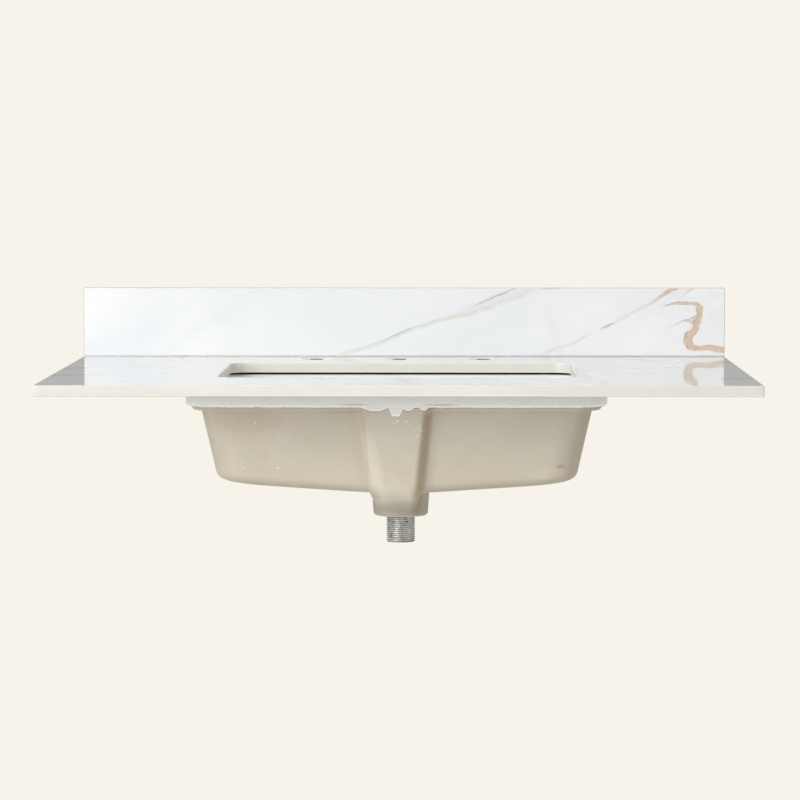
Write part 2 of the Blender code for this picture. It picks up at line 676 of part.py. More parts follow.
def loft(rings):
    """Quads between neighbouring rings, the last joined to the first, as a function that fills a mesh."""

    def build(shape):
        rows = [[shape.verts.new(point) for point in ring] for ring in rings]
        count = len(rings[0])
        for index, row in enumerate(rows):
            following = rows[(index + 1) % len(rows)]
            for place in range(count):
                beside = (place + 1) % count
                shape.faces.new((row[place], row[beside], following[beside], following[place]))

    return build


basin = add_object("basin", mesh_from("basin", loft(basin_rings())), ceramic, drain_axis)
for polygon in basin.data.polygons:
    polygon.use_smooth = True


# The overflow channel follows the ridge's crest inside its skin, from the slot to the drain bore
def crest_points():
    """(y, z, how far along) of the ridge's crest on its middle, from above the slot to the boss."""
    slot_up = 1 - (SLOT_BELOW_RIM - SLOT_HEIGHT) / (BOWL_EDGE_DEPTH + BOWL_WALL)
    walls = []
    for up in (slot_up, *CREST_UP_WALL):
        y = crest_y(up)
        walls.append(Vector((0, y, mix(floor_z(0, y, BOWL_WALL), RIM_Z, up))))
    edge = floor_ring(0, BOWL_WALL, BOSS_TOP_RADIUS + BOSS_FILLET)
    middle = RUN_STEPS + FLARE_STEPS + CREST_STEPS // 2
    foot_y = -BOSS_TOP_RADIUS
    under = []
    for share in CREST_TO_BOSS:
        y = mix(edge[middle].y, foot_y, share)
        under.append(Vector((0, y, mix(edge[middle].z, RIDGE_FOOT_Z, share))))
    return walls + under


def channel_sections():
    crest = crest_points()
    into_bore = (crest[-1] - crest[-2]).normalized() * (BOSS_TOP_RADIUS - DRAIN_BORE_RADIUS + RIDGE_SKIN)
    crest.append(crest[-1] + into_bore)
    sections = []
    for index, point in enumerate(crest):
        before = crest[max(index - 1, 0)]
        after = crest[min(index + 1, len(crest) - 1)]
        along = (after - before).normalized()
        inward = Vector((0, -along.z, along.y))
        share = index / (len(crest) - 1)
        half_width = mix(CHANNEL_WIDTH, CHANNEL_FOOT_WIDTH, share) / 2
        thickness = mix(CHANNEL_THICKNESS, CHANNEL_FOOT_THICKNESS, share)
        near = point + inward * RIDGE_SKIN
        far = near + inward * thickness
        left = Vector((CHANNEL_SET_OVER - half_width, 0, 0))
        right = Vector((CHANNEL_SET_OVER + half_width, 0, 0))
        sections.append([near + left, near + right, far + right, far + left])
    return sections


def capped_loft(sections):
    """A tube through four-cornered sections, closed at both ends, as a function that fills a mesh."""

    def build(shape):
        rows = [[shape.verts.new(point) for point in section] for section in sections]
        for row, following in zip(rows, rows[1:]):
            for place in range(4):
                beside = (place + 1) % 4
                shape.faces.new((row[place], row[beside], following[beside], following[place]))
        shape.faces.new(rows[0])
        shape.faces.new(rows[-1])

    return build


channel_mesh = mesh_from("channel_cutter", capped_loft(channel_sections()))
channel = add_object("channel_cutter", channel_mesh, parent=drain_axis, hidden=True)
cut(basin, channel)

slot_z = RIM_Z - SLOT_BELOW_RIM
slot_inner_y = -BOWL_HALF_Y + WALL_LEAN
slot_outer_y = channel_sections()[0][0].y + CHANNEL_THICKNESS / 2
slot_size = (SLOT_WIDTH, slot_inner_y - slot_outer_y, SLOT_HEIGHT)
slot_centre = (CHANNEL_SET_OVER, (slot_inner_y + slot_outer_y) / 2, slot_z)


def slot_shape(shape):
    block(slot_size, slot_centre)(shape)
    along_y = [e for e in shape.edges if abs(e.verts[0].co.y - e.verts[1].co.y) > slot_size[1] / 2]
    bmesh.ops.bevel(
        shape, geom=along_y, offset=SLOT_END_ROUND, segments=SLOT_ROUND_STEPS, profile=0.5, affect="EDGES"
    )


slot = add_object("slot_cutter", mesh_from("slot_cutter", slot_shape), parent=drain_axis, hidden=True)
cut(basin, slot)

# Drain flange: a dished ring whose collar screws down over the drain body's top
FLANGE_UNDER_Z = SEAT_Z + FLANGE_GASKET + 2 * SEAT_GAP
FLANGE_TOP_Z = FLANGE_UNDER_Z + DRAIN_FLANGE_RIM
THROAT_RADIUS = BARREL_RADIUS - BARREL_WALL
DISH_INNER_RADIUS = THROAT_RADIUS + THROAT_ROUND
DISH_OUTER_RADIUS = DRAIN_FLANGE_RADIUS - DRAIN_FLANGE_RIM / 2
DISH_Z = FLANGE_TOP_Z - DISH_DEPTH
THROAT_FOOT_Z = DISH_Z - THROAT_ROUND - THROAT_LENGTH
COLLAR_FOOT_Z = FLANGE_UNDER_Z - COLLAR_LENGTH
COLLAR_BORE_RADIUS = BARREL_RADIUS + SEAT_GAP
turned(
    "drain_flange",
    [
        (DISH_INNER_RADIUS, DISH_Z),
        (DISH_OUTER_RADIUS, FLANGE_TOP_Z),
        (DRAIN_FLANGE_RADIUS, FLANGE_TOP_Z - DRAIN_FLANGE_RIM / 3),
        (DRAIN_FLANGE_RADIUS, FLANGE_UNDER_Z),
        (COLLAR_BORE_RADIUS + COLLAR_WALL, FLANGE_UNDER_Z),
        (COLLAR_BORE_RADIUS + COLLAR_WALL, COLLAR_FOOT_Z),
        (COLLAR_BORE_RADIUS, COLLAR_FOOT_Z),
        (COLLAR_BORE_RADIUS, THROAT_FOOT_Z),
        (THROAT_RADIUS, THROAT_FOOT_Z),
        (THROAT_RADIUS, DISH_Z - THROAT_ROUND),
        (mix(THROAT_RADIUS, DISH_INNER_RADIUS, THROAT_BREAK), DISH_Z - THROAT_ROUND * THROAT_BREAK),
    ],
    plated,
)

# Drain body: a barrel with overflow windows
BARREL_TOP_Z = THROAT_FOOT_Z - SEAT_GAP
BARREL_FOOT_Z = FLANGE_UNDER_Z - BARREL_LENGTH
drain_body = turned(
    "drain_body",
    [
        (BARREL_RADIUS, BARREL_TOP_Z),
        (BARREL_RADIUS, BARREL_FOOT_Z + TAIL_CHAMFER),
        (BARREL_RADIUS - TAIL_CHAMFER, BARREL_FOOT_Z),
        (THROAT_RADIUS, BARREL_FOOT_Z),
        (THROAT_RADIUS, BARREL_TOP_Z),
    ],
    plated,
)

# Threaded tail, screwed up into the barrel's foot
TAIL_BORE_RADIUS = TAIL_RADIUS - TAIL_WALL
TAIL_TOP_Z = BARREL_FOOT_Z + TAIL_SOCKET
drain_tail = turned(
    "drain_tail",
    [
        (TAIL_BORE_RADIUS, TAIL_TOP_Z),
        (TAIL_RADIUS, TAIL_TOP_Z),
        (TAIL_RADIUS, TAIL_BOTTOM_Z + TAIL_CHAMFER),
        (TAIL_RADIUS - TAIL_CHAMFER, TAIL_BOTTOM_Z),
        (TAIL_BORE_RADIUS, TAIL_BOTTOM_Z),
    ],
    plated,
)

# The cartridge hangs down the drain's middle and stands on the hub of the tail's cross bar
CARTRIDGE_TOP_Z = DISH_Z - TOP_NUT_HEAD - THROAT_ROUND
HUB_TOP_Z = CARTRIDGE_TOP_Z - CARTRIDGE_LENGTH - SEAT_GAP
HUB_BOTTOM_Z = HUB_TOP_Z - CROSS_BAR_HEIGHT
bar_size = (2 * TAIL_BORE_RADIUS + TAIL_WALL, CROSS_BAR_WIDTH, CROSS_BAR_HEIGHT)
bar_centre = (0, 0, (HUB_TOP_Z + HUB_BOTTOM_Z) / 2)
cross_bar_mesh = mesh_from("cross_bar_join", block(bar_size, bar_centre))
cross_bar = add_object("cross_bar_join", cross_bar_mesh, parent=drain_axis, hidden=True)
hub_mesh = mesh_from("hub_join", drum(HUB_RADIUS, HUB_BOTTOM_Z, HUB_TOP_Z, SMALL_TURN_STEPS))
hub = add_object("hub_join", hub_mesh, parent=drain_axis, hidden=True)
hub_hole_foot, hub_hole_top = HUB_BOTTOM_Z - CROSS_BAR_HEIGHT, HUB_TOP_Z + CROSS_BAR_HEIGHT
hub_hole_drum = drum(STUD_RADIUS + SEAT_GAP, hub_hole_foot, hub_hole_top, SMALL_TURN_STEPS)
hub_hole_mesh = mesh_from("hub_hole_cutter", hub_hole_drum)
hub_hole = add_object("hub_hole_cutter", hub_hole_mesh, parent=drain_axis, hidden=True)
cut(drain_tail, cross_bar, "UNION")
cut(drain_tail, hub, "UNION")
cut(drain_tail, hub_hole)
window_z = (COLLAR_FOOT_Z + TAIL_TOP_Z) / 2
for index in range(BARREL_WINDOW_COUNT // 2):
    window_size = (BARREL_WINDOW_WIDTH, 3 * BARREL_RADIUS, BARREL_WINDOW_HEIGHT)
    window_name = f"window_cutter_{index + 1}"
    window_mesh = mesh_from(window_name, block(window_size, (0, 0, window_z)))
    window = add_object(window_name, window_mesh, parent=drain_axis, hidden=True)
    window.rotation_euler.z = 2 * math.pi * index / BARREL_WINDOW_COUNT
    cut(drain_body, window)

# Gasket under the drain's flange
turned(
    "flange_gasket",
    [
        (DRAIN_FLANGE_RADIUS - RUNNING_GAP, SEAT_Z + SEAT_GAP + FLANGE_GASKET),
        (DRAIN_FLANGE_RADIUS - RUNNING_GAP, SEAT_Z + SEAT_GAP),
        (DRAIN_BORE_RADIUS, SEAT_Z + SEAT_GAP),
        (DRAIN_BORE_RADIUS, SEAT_Z + SEAT_GAP + FLANGE_GASKET),
    ],
    white_rubber,
)

# Cone gasket, slip washer and back nut, pressed up into the recess under the boss
RING_BORE_RADIUS = TAIL_RADIUS + SEAT_GAP
RING_RADIUS = NUT_RECESS_RADIUS - SLIDE_CLEARANCE
GASKET_TOP_Z = SHOULDER_Z - SEAT_GAP
GASKET_BOTTOM_Z = GASKET_TOP_Z - CONE_GASKET_RIM
cone_radius = DRAIN_BORE_RADIUS - SLIDE_CLEARANCE
turned(
    "cone_gasket",
    [
        (cone_radius - CONE_GASKET_TAPER, GASKET_TOP_Z + CONE_GASKET_RISE),
        (cone_radius, GASKET_TOP_Z),
        (RING_RADIUS, GASKET_TOP_Z),
        (RING_RADIUS, GASKET_BOTTOM_Z),
        (RING_BORE_RADIUS, GASKET_BOTTOM_Z),
        (RING_BORE_RADIUS, GASKET_TOP_Z + CONE_GASKET_RISE),
    ],
    black_rubber,
)
WASHER_TOP_Z = GASKET_BOTTOM_Z - SEAT_GAP
turned(
    "slip_washer",
    [
        (RING_RADIUS, WASHER_TOP_Z),
        (RING_RADIUS, WASHER_TOP_Z - SLIP_WASHER),
        (RING_BORE_RADIUS, WASHER_TOP_Z - SLIP_WASHER),
        (RING_BORE_RADIUS, WASHER_TOP_Z),
    ],
    white_plastic,
)
NUT_TOP_Z = WASHER_TOP_Z - SLIP_WASHER - SEAT_GAP
nut_mesh = mesh_from("drain_backnut", drum(RING_RADIUS, NUT_TOP_Z - NUT_THICKNESS, NUT_TOP_Z, 6))
nut = add_object("drain_backnut", nut_mesh, plated, drain_axis)
round_edges(nut, NUT_CHAMFER)
nut_bore_mesh = mesh_from(
    "nut_bore_cutter", drum(RING_BORE_RADIUS, NUT_TOP_Z - 2 * NUT_THICKNESS, NUT_TOP_Z + NUT_THICKNESS)
)
nut_bore = add_object("nut_bore_cutter", nut_bore_mesh, parent=drain_axis, hidden=True)
cut(nut, nut_bore)

# Cartridge: a barrel whose stud passes through the hub, closed by a top nut
CARTRIDGE_FOOT_Z = CARTRIDGE_TOP_Z - CARTRIDGE_LENGTH
CHAMBER_RADIUS = CARTRIDGE_RADIUS - CARTRIDGE_WALL
CHAMBER_FLOOR_Z = CARTRIDGE_FOOT_Z + CARTRIDGE_FLOOR
turned(
    "cartridge_barrel",
    [
        (0, CHAMBER_FLOOR_Z),
        (CHAMBER_RADIUS, CHAMBER_FLOOR_Z),
        (CHAMBER_RADIUS, CARTRIDGE_TOP_Z),
        (CARTRIDGE_RADIUS, CARTRIDGE_TOP_Z),
        (CARTRIDGE_RADIUS, CARTRIDGE_FOOT_Z),
        (STUD_RADIUS, CARTRIDGE_FOOT_Z),
        (STUD_RADIUS, HUB_BOTTOM_Z - STUD_BELOW_BAR),
        (0, HUB_BOTTOM_Z - STUD_BELOW_BAR),
    ],
    white_plastic,
    SMALL_TURN_STEPS,
)
TOP_NUT_FOOT_Z = CARTRIDGE_TOP_Z + SEAT_GAP
TOP_NUT_TOP_Z = TOP_NUT_FOOT_Z + TOP_NUT_HEAD
SPIGOT_END_Z = TOP_NUT_FOOT_Z - TOP_NUT_SPIGOT
turned(
    "cartridge_top_nut",
    [
        (TOP_NUT_RADIUS, TOP_NUT_TOP_Z),
        (TOP_NUT_RADIUS, TOP_NUT_FOOT_Z),
        (CHAMBER_RADIUS - SEAT_GAP, TOP_NUT_FOOT_Z),
        (CHAMBER_RADIUS - SEAT_GAP, SPIGOT_END_Z),
        (STEM_RADIUS + RUNNING_GAP, SPIGOT_END_Z),
        (STEM_RADIUS + RUNNING_GAP, TOP_NUT_TOP_Z),
    ],
    white_plastic,
    SMALL_TURN_STEPS,
)

# Stopper, drawn closed: the seal rests on the dish and the cap covers the flange
DISH_SLOPE = DISH_DEPTH / (DISH_OUTER_RADIUS - DISH_INNER_RADIUS)
SEAL_INNER_RADIUS = SPIGOT_RADIUS + SEAT_GAP
SEAL_OUTER_RADIUS = SEAL_INNER_RADIUS + SEAL_WIDTH
SEAL_FOOT_Z = DISH_Z + SEAT_GAP
SEAL_EDGE_Z = SEAL_FOOT_Z + DISH_SLOPE * (SEAL_OUTER_RADIUS - DISH_INNER_RADIUS)
SEAL_TOP_Z = SEAL_EDGE_Z + SEAL_THICKNESS
turned(
    "stopper_seal",
    [
        (SEAL_OUTER_RADIUS, SEAL_TOP_Z),
        (SEAL_OUTER_RADIUS, SEAL_EDGE_Z),
        (DISH_INNER_RADIUS, SEAL_FOOT_Z),
        (SEAL_INNER_RADIUS, SEAL_FOOT_Z),
        (SEAL_INNER_RADIUS, SEAL_TOP_Z),
    ],
    black_rubber,
)
CAP_UNDER_Z = SEAL_TOP_Z + SEAT_GAP
CAP_SHOULDER_Z = CAP_UNDER_Z + CAP_RIM
SPIGOT_LIP_TOP_Z = SEAL_FOOT_Z - SEAT_GAP
SPIGOT_FOOT_Z = SPIGOT_LIP_TOP_Z - SPIGOT_LIP
SOCKET_TOP_Z = SPIGOT_FOOT_Z + CAP_SOCKET_DEPTH
SOCKET_RADIUS = STEM_SHOULDER_RADIUS + SEAT_GAP
dome = [
    (CAP_RADIUS * share, CAP_SHOULDER_Z + CAP_DOME * (1 - share * share))
    for share in DOME_RINGS
]
turned(
    "stopper_cap",
    [
        *dome,
        (CAP_RADIUS, CAP_SHOULDER_Z - CAP_RIM / 4),
        (CAP_RADIUS, CAP_UNDER_Z + CAP_RIM / 4),
        (CAP_RADIUS - CAP_RIM / 4, CAP_UNDER_Z),
        (SPIGOT_RADIUS, CAP_UNDER_Z),
        (SPIGOT_RADIUS, SPIGOT_LIP_TOP_Z),
        (SPIGOT_RADIUS + SPIGOT_LIP, SPIGOT_LIP_TOP_Z),
        (SPIGOT_RADIUS + SPIGOT_LIP, SPIGOT_FOOT_Z),
        (SPIGOT_RADIUS - CAP_RIM, SPIGOT_FOOT_Z),
        (SPIGOT_RADIUS - CAP_RIM, CAP_UNDER_Z),
        (SOCKET_RADIUS + CAP_SOCKET_WALL, CAP_UNDER_Z),
        (SOCKET_RADIUS + CAP_SOCKET_WALL, SPIGOT_FOOT_Z),
        (SOCKET_RADIUS, SPIGOT_FOOT_Z),
        (SOCKET_RADIUS, SOCKET_TOP_Z),
        (0, SOCKET_TOP_Z),
    ],
    chrome,
)
HEAD_TOP_Z = SPIGOT_END_Z - SLIDE_CLEARANCE - STOPPER_TRAVEL
HEAD_FOOT_Z = HEAD_TOP_Z - STEM_HEAD_LENGTH
HEAD_RADIUS = CHAMBER_RADIUS - SLIDE_CLEARANCE
turned(
    "plunger_stem",
    [
        (0, SOCKET_TOP_Z - SEAT_GAP),
        (STEM_SHOULDER_RADIUS, SOCKET_TOP_Z - SEAT_GAP),
        (STEM_SHOULDER_RADIUS, TOP_NUT_TOP_Z + SLIDE_CLEARANCE),
        (STEM_RADIUS, TOP_NUT_TOP_Z + SLIDE_CLEARANCE),
        (STEM_RADIUS, HEAD_TOP_Z),
        (HEAD_RADIUS, HEAD_TOP_Z),
        (HEAD_RADIUS, HEAD_FOOT_Z),
        (STEM_PIN_RADIUS, HEAD_FOOT_Z),
        (STEM_PIN_RADIUS, HEAD_FOOT_Z - STEM_PIN_LENGTH),
        (0, HEAD_FOOT_Z - STEM_PIN_LENGTH),
    ],
    chrome,
    SMALL_TURN_STEPS,
)

# Index rotor: a lugged ring round the stem's pin, which turns one step as the stopper moves
ROTOR_TOP_Z = HEAD_FOOT_Z - SEAT_GAP
ROTOR_FOOT_Z = ROTOR_TOP_Z - ROTOR_LENGTH
rotor_core = drum(HEAD_RADIUS - ROTOR_LUG_REACH, ROTOR_FOOT_Z, ROTOR_TOP_Z, SMALL_TURN_STEPS)
rotor_mesh = mesh_from("cartridge_rotor", rotor_core)
rotor = add_object("cartridge_rotor", rotor_mesh, white_plastic, drain_axis)
for index in range(ROTOR_LUG_COUNT // 2):
    lug_size = (2 * HEAD_RADIUS, ROTOR_LUG_WIDTH, ROTOR_LENGTH)
    lug_name = f"lug_join_{index + 1}"
    lug_mesh = mesh_from(lug_name, block(lug_size, (0, 0, (ROTOR_TOP_Z + ROTOR_FOOT_Z) / 2)))
    lug = add_object(lug_name, lug_mesh, parent=drain_axis, hidden=True)
    lug.rotation_euler.z = 2 * math.pi * index / ROTOR_LUG_COUNT
    cut(rotor, lug, "UNION")
rotor_bore_foot, rotor_bore_top = ROTOR_FOOT_Z - ROTOR_LENGTH, ROTOR_TOP_Z + ROTOR_LENGTH
rotor_bore_drum = drum(STEM_PIN_RADIUS + RUNNING_GAP, rotor_bore_foot, rotor_bore_top, SMALL_TURN_STEPS)
rotor_bore_mesh = mesh_from("rotor_bore_cutter", rotor_bore_drum)
rotor_bore = add_object("rotor_bore_cutter", rotor_bore_mesh, parent=drain_axis, hidden=True)
cut(rotor, rotor_bore)


# Spring between the chamber's floor and the rotor, wound round the stem's pin
def coil_points(radius, low_z, high_z, turns):
    count = turns * SPRING_POINTS_PER_TURN
    points = []
    for step in range(count + 1):
        angle = 2 * math.pi * step / SPRING_POINTS_PER_TURN
        z = mix(low_z, high_z, step / count)
        points.append(Vector((radius * math.cos(angle), radius * math.sin(angle), z)))
    return points


def least_gap(points, wire_radius, points_per_turn):
    """Least clear distance between neighbouring turns of a wire."""
    pairs = zip(points, points[points_per_turn:])
    return min((a - b).length for a, b in pairs) - 2 * wire_radius


spring_low_z = CHAMBER_FLOOR_Z + SEAT_GAP + SPRING_WIRE_RADIUS
spring_high_z = ROTOR_FOOT_Z - SEAT_GAP - SPRING_WIRE_RADIUS
spring_radius = (CHAMBER_RADIUS + STEM_PIN_RADIUS) / 2
spring_points = coil_points(spring_radius, spring_low_z, spring_high_z, SPRING_TURNS)
spring_gap = least_gap(spring_points, SPRING_WIRE_RADIUS, SPRING_POINTS_PER_TURN)
print(f"cartridge_spring least gap {spring_gap / MM:.2f} mm")
spring_curve = bpy.data.curves.new("cartridge_spring", "CURVE")
spring_curve.dimensions = "3D"
spring_curve.bevel_depth = SPRING_WIRE_RADIUS
spring_curve.bevel_resolution = 1
spring_curve.use_fill_caps = True
spring_spline = spring_curve.splines.new("POLY")
spring_spline.points.add(len(spring_points) - 1)
for point, place in zip(spring_spline.points, spring_points):
    point.co = (*place, 1)
add_object("cartridge_spring", spring_curve, spring_steel, drain_axis)
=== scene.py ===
import math

import bmesh
import bpy
import numpy as np
from mathutils import Matrix, Vector
from mathutils.geometry import delaunay_2d_cdt


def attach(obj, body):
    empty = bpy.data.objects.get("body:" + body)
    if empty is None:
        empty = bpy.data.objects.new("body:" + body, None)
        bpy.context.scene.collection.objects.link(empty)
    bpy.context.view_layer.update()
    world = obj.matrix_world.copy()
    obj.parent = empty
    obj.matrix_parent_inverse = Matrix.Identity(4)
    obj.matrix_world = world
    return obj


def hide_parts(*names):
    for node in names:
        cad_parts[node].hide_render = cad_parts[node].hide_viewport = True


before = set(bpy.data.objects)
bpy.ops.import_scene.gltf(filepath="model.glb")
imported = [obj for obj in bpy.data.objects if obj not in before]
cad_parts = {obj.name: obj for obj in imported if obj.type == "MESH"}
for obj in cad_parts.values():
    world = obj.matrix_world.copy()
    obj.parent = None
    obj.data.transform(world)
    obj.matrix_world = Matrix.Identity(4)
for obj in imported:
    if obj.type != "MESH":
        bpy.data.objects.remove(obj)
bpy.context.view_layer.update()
scene = bpy.context.scene
MM = 0.001

# The camera stands about 3.8 m in front of the vanity, a little above the counter, with a long
# lens, so the basin shows from the front and the counter's top as a thin band.
camera = bpy.data.objects.new("camera", bpy.data.cameras.new("camera"))
scene.collection.objects.link(camera)
camera.location = (0.050, -4.3338, 0.263)
camera.rotation_euler = (math.radians(90 - 4.005), 0, math.radians(0.721))
camera.data.lens = 159.55
camera.data.clip_end = 50
scene.camera = camera

# Countertop: a 12 mm slab of white engineered stone, cast with soft grey and gold veins right
# through it. Its top is polished, its sawn edges are only honed, and each arris is eased by hand.
SLAB_WIDTH = 787.4 * MM
SLAB_FRONT_Y = -528.8 * MM
SLAB_BACK_Y = 30.0 * MM
SLAB_THICKNESS = 12.0 * MM
SLAB_EASE = 0.7 * MM
SLAB_CORNER = 0.9 * MM
HOLE_EASE = 0.15 * MM
SLAB_GRID = 5.0 * MM
SLAB_UNDER_GRID = 24.0 * MM
CUTOUT_CENTRE = Vector((-2.5 * MM, -252.0 * MM))
CUTOUT = (403.0 * MM, 278.0 * MM)
CUTOUT_CORNER = 20.0 * MM
FAUCET_SPACING = 101.6 * MM
FAUCET_SET_OVER = -4.5 * MM
FAUCET_Y = -35.0 * MM
FAUCET_HOLE_RADIUS = 17.5 * MM
HOLE_STEPS = 64
ARRIS_ROWS = 5

# A vein is a run of stops: place across the slab and behind its front edge, half width, strength
# and warmth, with places and widths in millimetres.
THINNEST_VEIN = 0.3
FARTHEST_VEIN = 60.0 * MM
SLAB_VEINS = {
    "haze_vein": [
        [(-394, 166, 4, 0.4, 0.2), (-359, 208, 5, 0.4, 0.2), (-310, 262, 3.5, 0.4, 0.3),
         (-262, 318, 5, 0.4, 0.2), (-228, 372, 3, 0.3, 0.2), (-190, 432, 4.5, 0.4, 0.3),
         (-140, 485, 3, 0.4, 0.2), (-79, 547, 2, 0.5, 0.2)],
        [(-394, 20, 9, 0.3, 0), (-300, 70, 12, 0.4, 0), (-220, 130, 8, 0.3, 0)],
        [(120, 559, 5, 0.4, 0.1), (175, 545, 3, 0.6, 0.3), (240, 500, 5, 0.5, 0.2),
         (300, 470, 4, 0.6, 0.3), (394, 452, 7, 0.5, 0.2)],
        [(90, 0, 7, 0.4, 0), (150, 50, 9, 0.45, 0.1), (230, 95, 6, 0.4, 0), (300, 160, 9, 0.35, 0),
         (394, 205, 8, 0.3, 0)],
    ],
    "gold_vein": [
        [(-60, 0, 1.2, 0.7, 0.5), (-32, 24, 2.2, 0.9, 0.8), (0, 40, 1.6, 0.8, 0.7),
         (60, 90, 2.6, 1, 0.9), (110, 138, 2, 0.9, 0.8)],
        [(-310, 262, 0.6, 0.2, 0.6), (-284, 250, 1.4, 0.8, 0.8), (-250, 252, 0.9, 0.6, 0.7),
         (-222, 262, 0.4, 0.2, 0.6)],
    ],
    "beige_vein": [
        [(202, 262, 4, 0.6, 0.6), (240, 288, 6, 0.7, 0.6), (277, 307, 7, 0.7, 0.5),
         (328, 330, 7, 0.6, 0.5), (375, 339, 6, 0.5, 0.5), (394, 343, 5, 0.3, 0.5)],
        [(204, 250, 2, 0.2, 0.5), (213, 159, 3, 0.6, 0.5), (228, 22, 3, 0.5, 0.4)],
        [(-394, 300, 2.2, 0.7, 0.2), (-352, 352, 1.6, 0.6, 0.3), (-300, 392, 2.4, 0.7, 0.2),
         (-250, 470, 1.8, 0.6, 0.2), (-214, 559, 2.2, 0.7, 0.2)],
    ],
    "thread_vein_and_reflection": [
        # This run starts as a broad dark streak at the left end, a painted reflection, and goes on as a
        # thin vein.
        [(-394, 296, 8, 0.9, 0.2), (-370, 314, 5, 0.8, 0.1), (-330, 350, 2, 0.8, 0.2),
         (-290, 400, 0.7, 0.7, 0), (-262, 452, 0.9, 0.8, 0.1), (-230, 500, 0.7, 0.7, 0),
         (-200, 559, 0.8, 0.8, 0)],
        [(250, 0, 0.8, 0.8, 0), (290, 30, 1, 0.8, 0), (318, 48, 0.8, 0.6, 0), (336, 60, 0.4, 0, 0)],
        [(-359, 208, 0.5, 0.2, 0), (-330, 190, 0.8, 0.7, 0), (-282, 182, 0.6, 0.6, 0),
         (-236, 160, 0.5, 0.1, 0)],
        [(-140, 0, 0.7, 0.5, 0), (-118, 46, 0.8, 0.6, 0), (-84, 90, 0.6, 0.5, 0),
         (-60, 138, 0.6, 0.4, 0)],
        [(20, 416, 0.6, 0.4, 0), (52, 462, 0.8, 0.7, 0), (70, 510, 0.7, 0.6, 0),
         (110, 559, 0.7, 0.6, 0)],
        # This run is a painted reflection: a broad dark streak at the left end that thins out into the
        # stone.
        [(-394, 172, 10, 0.9, 0.3), (-357, 188, 8, 0.8, 0.2), (-310, 206, 4, 0.6, 0.1),
         (-262, 228, 1.6, 0.4, 0), (-225, 240, 0.5, 0.1, 0)],
        # The next two runs are painted reflections: broad dark streaks at the right end that thin into
        # the stone.
        [(300, 412, 0.5, 0.1, 0), (345, 424, 3, 0.5, 0), (384, 427, 7, 0.9, 0),
         (394, 428, 8, 0.9, 0)],
        [(290, 108, 0.5, 0, 0), (325, 116, 3, 0.5, 0), (362, 122, 6, 0.9, 0),
         (394, 125, 7, 0.9, 0)],
        [(233, 527, 4, 0.5, 0), (298, 475, 5, 0.5, 0), (366, 424, 4, 0.4, 0)],
    ],
}


def shade(red, green, blue):
    """A colour as a paint card gives it, 0 to 255, in the linear values that shaders take."""
    linear = []
    for value in (red, green, blue):
        share = value / 255
        linear.append(share / 12.92 if share <= 0.04045 else ((share + 0.055) / 1.055) ** 2.4)
    return (*linear, 1.0)


def socket_called(sockets, name):
    if isinstance(name, int):
        return sockets[name]
    for socket in sockets:
        if socket.identifier == name:
            return socket
    return sockets[name]


class Wire:
    """A node's output. Arithmetic on it adds Math nodes to its tree."""

    def __init__(self, tree, socket):
        self.tree = tree
        self.socket = socket

    def other(self, name):
        return Wire(self.tree, socket_called(self.socket.node.outputs, name))

    def __add__(self, value):
        return self.tree.maths("ADD", self, value)

    def __radd__(self, value):
        return self.tree.maths("ADD", value, self)

    def __sub__(self, value):
        return self.tree.maths("SUBTRACT", self, value)

    def __rsub__(self, value):
        return self.tree.maths("SUBTRACT", value, self)

    def __mul__(self, value):
        return self.tree.maths("MULTIPLY", self, value)

    def __rmul__(self, value):
        return self.tree.maths("MULTIPLY", value, self)

    def __truediv__(self, value):
        return self.tree.maths("DIVIDE", self, value)

    def __abs__(self):
        return self.tree.maths("ABSOLUTE", self)


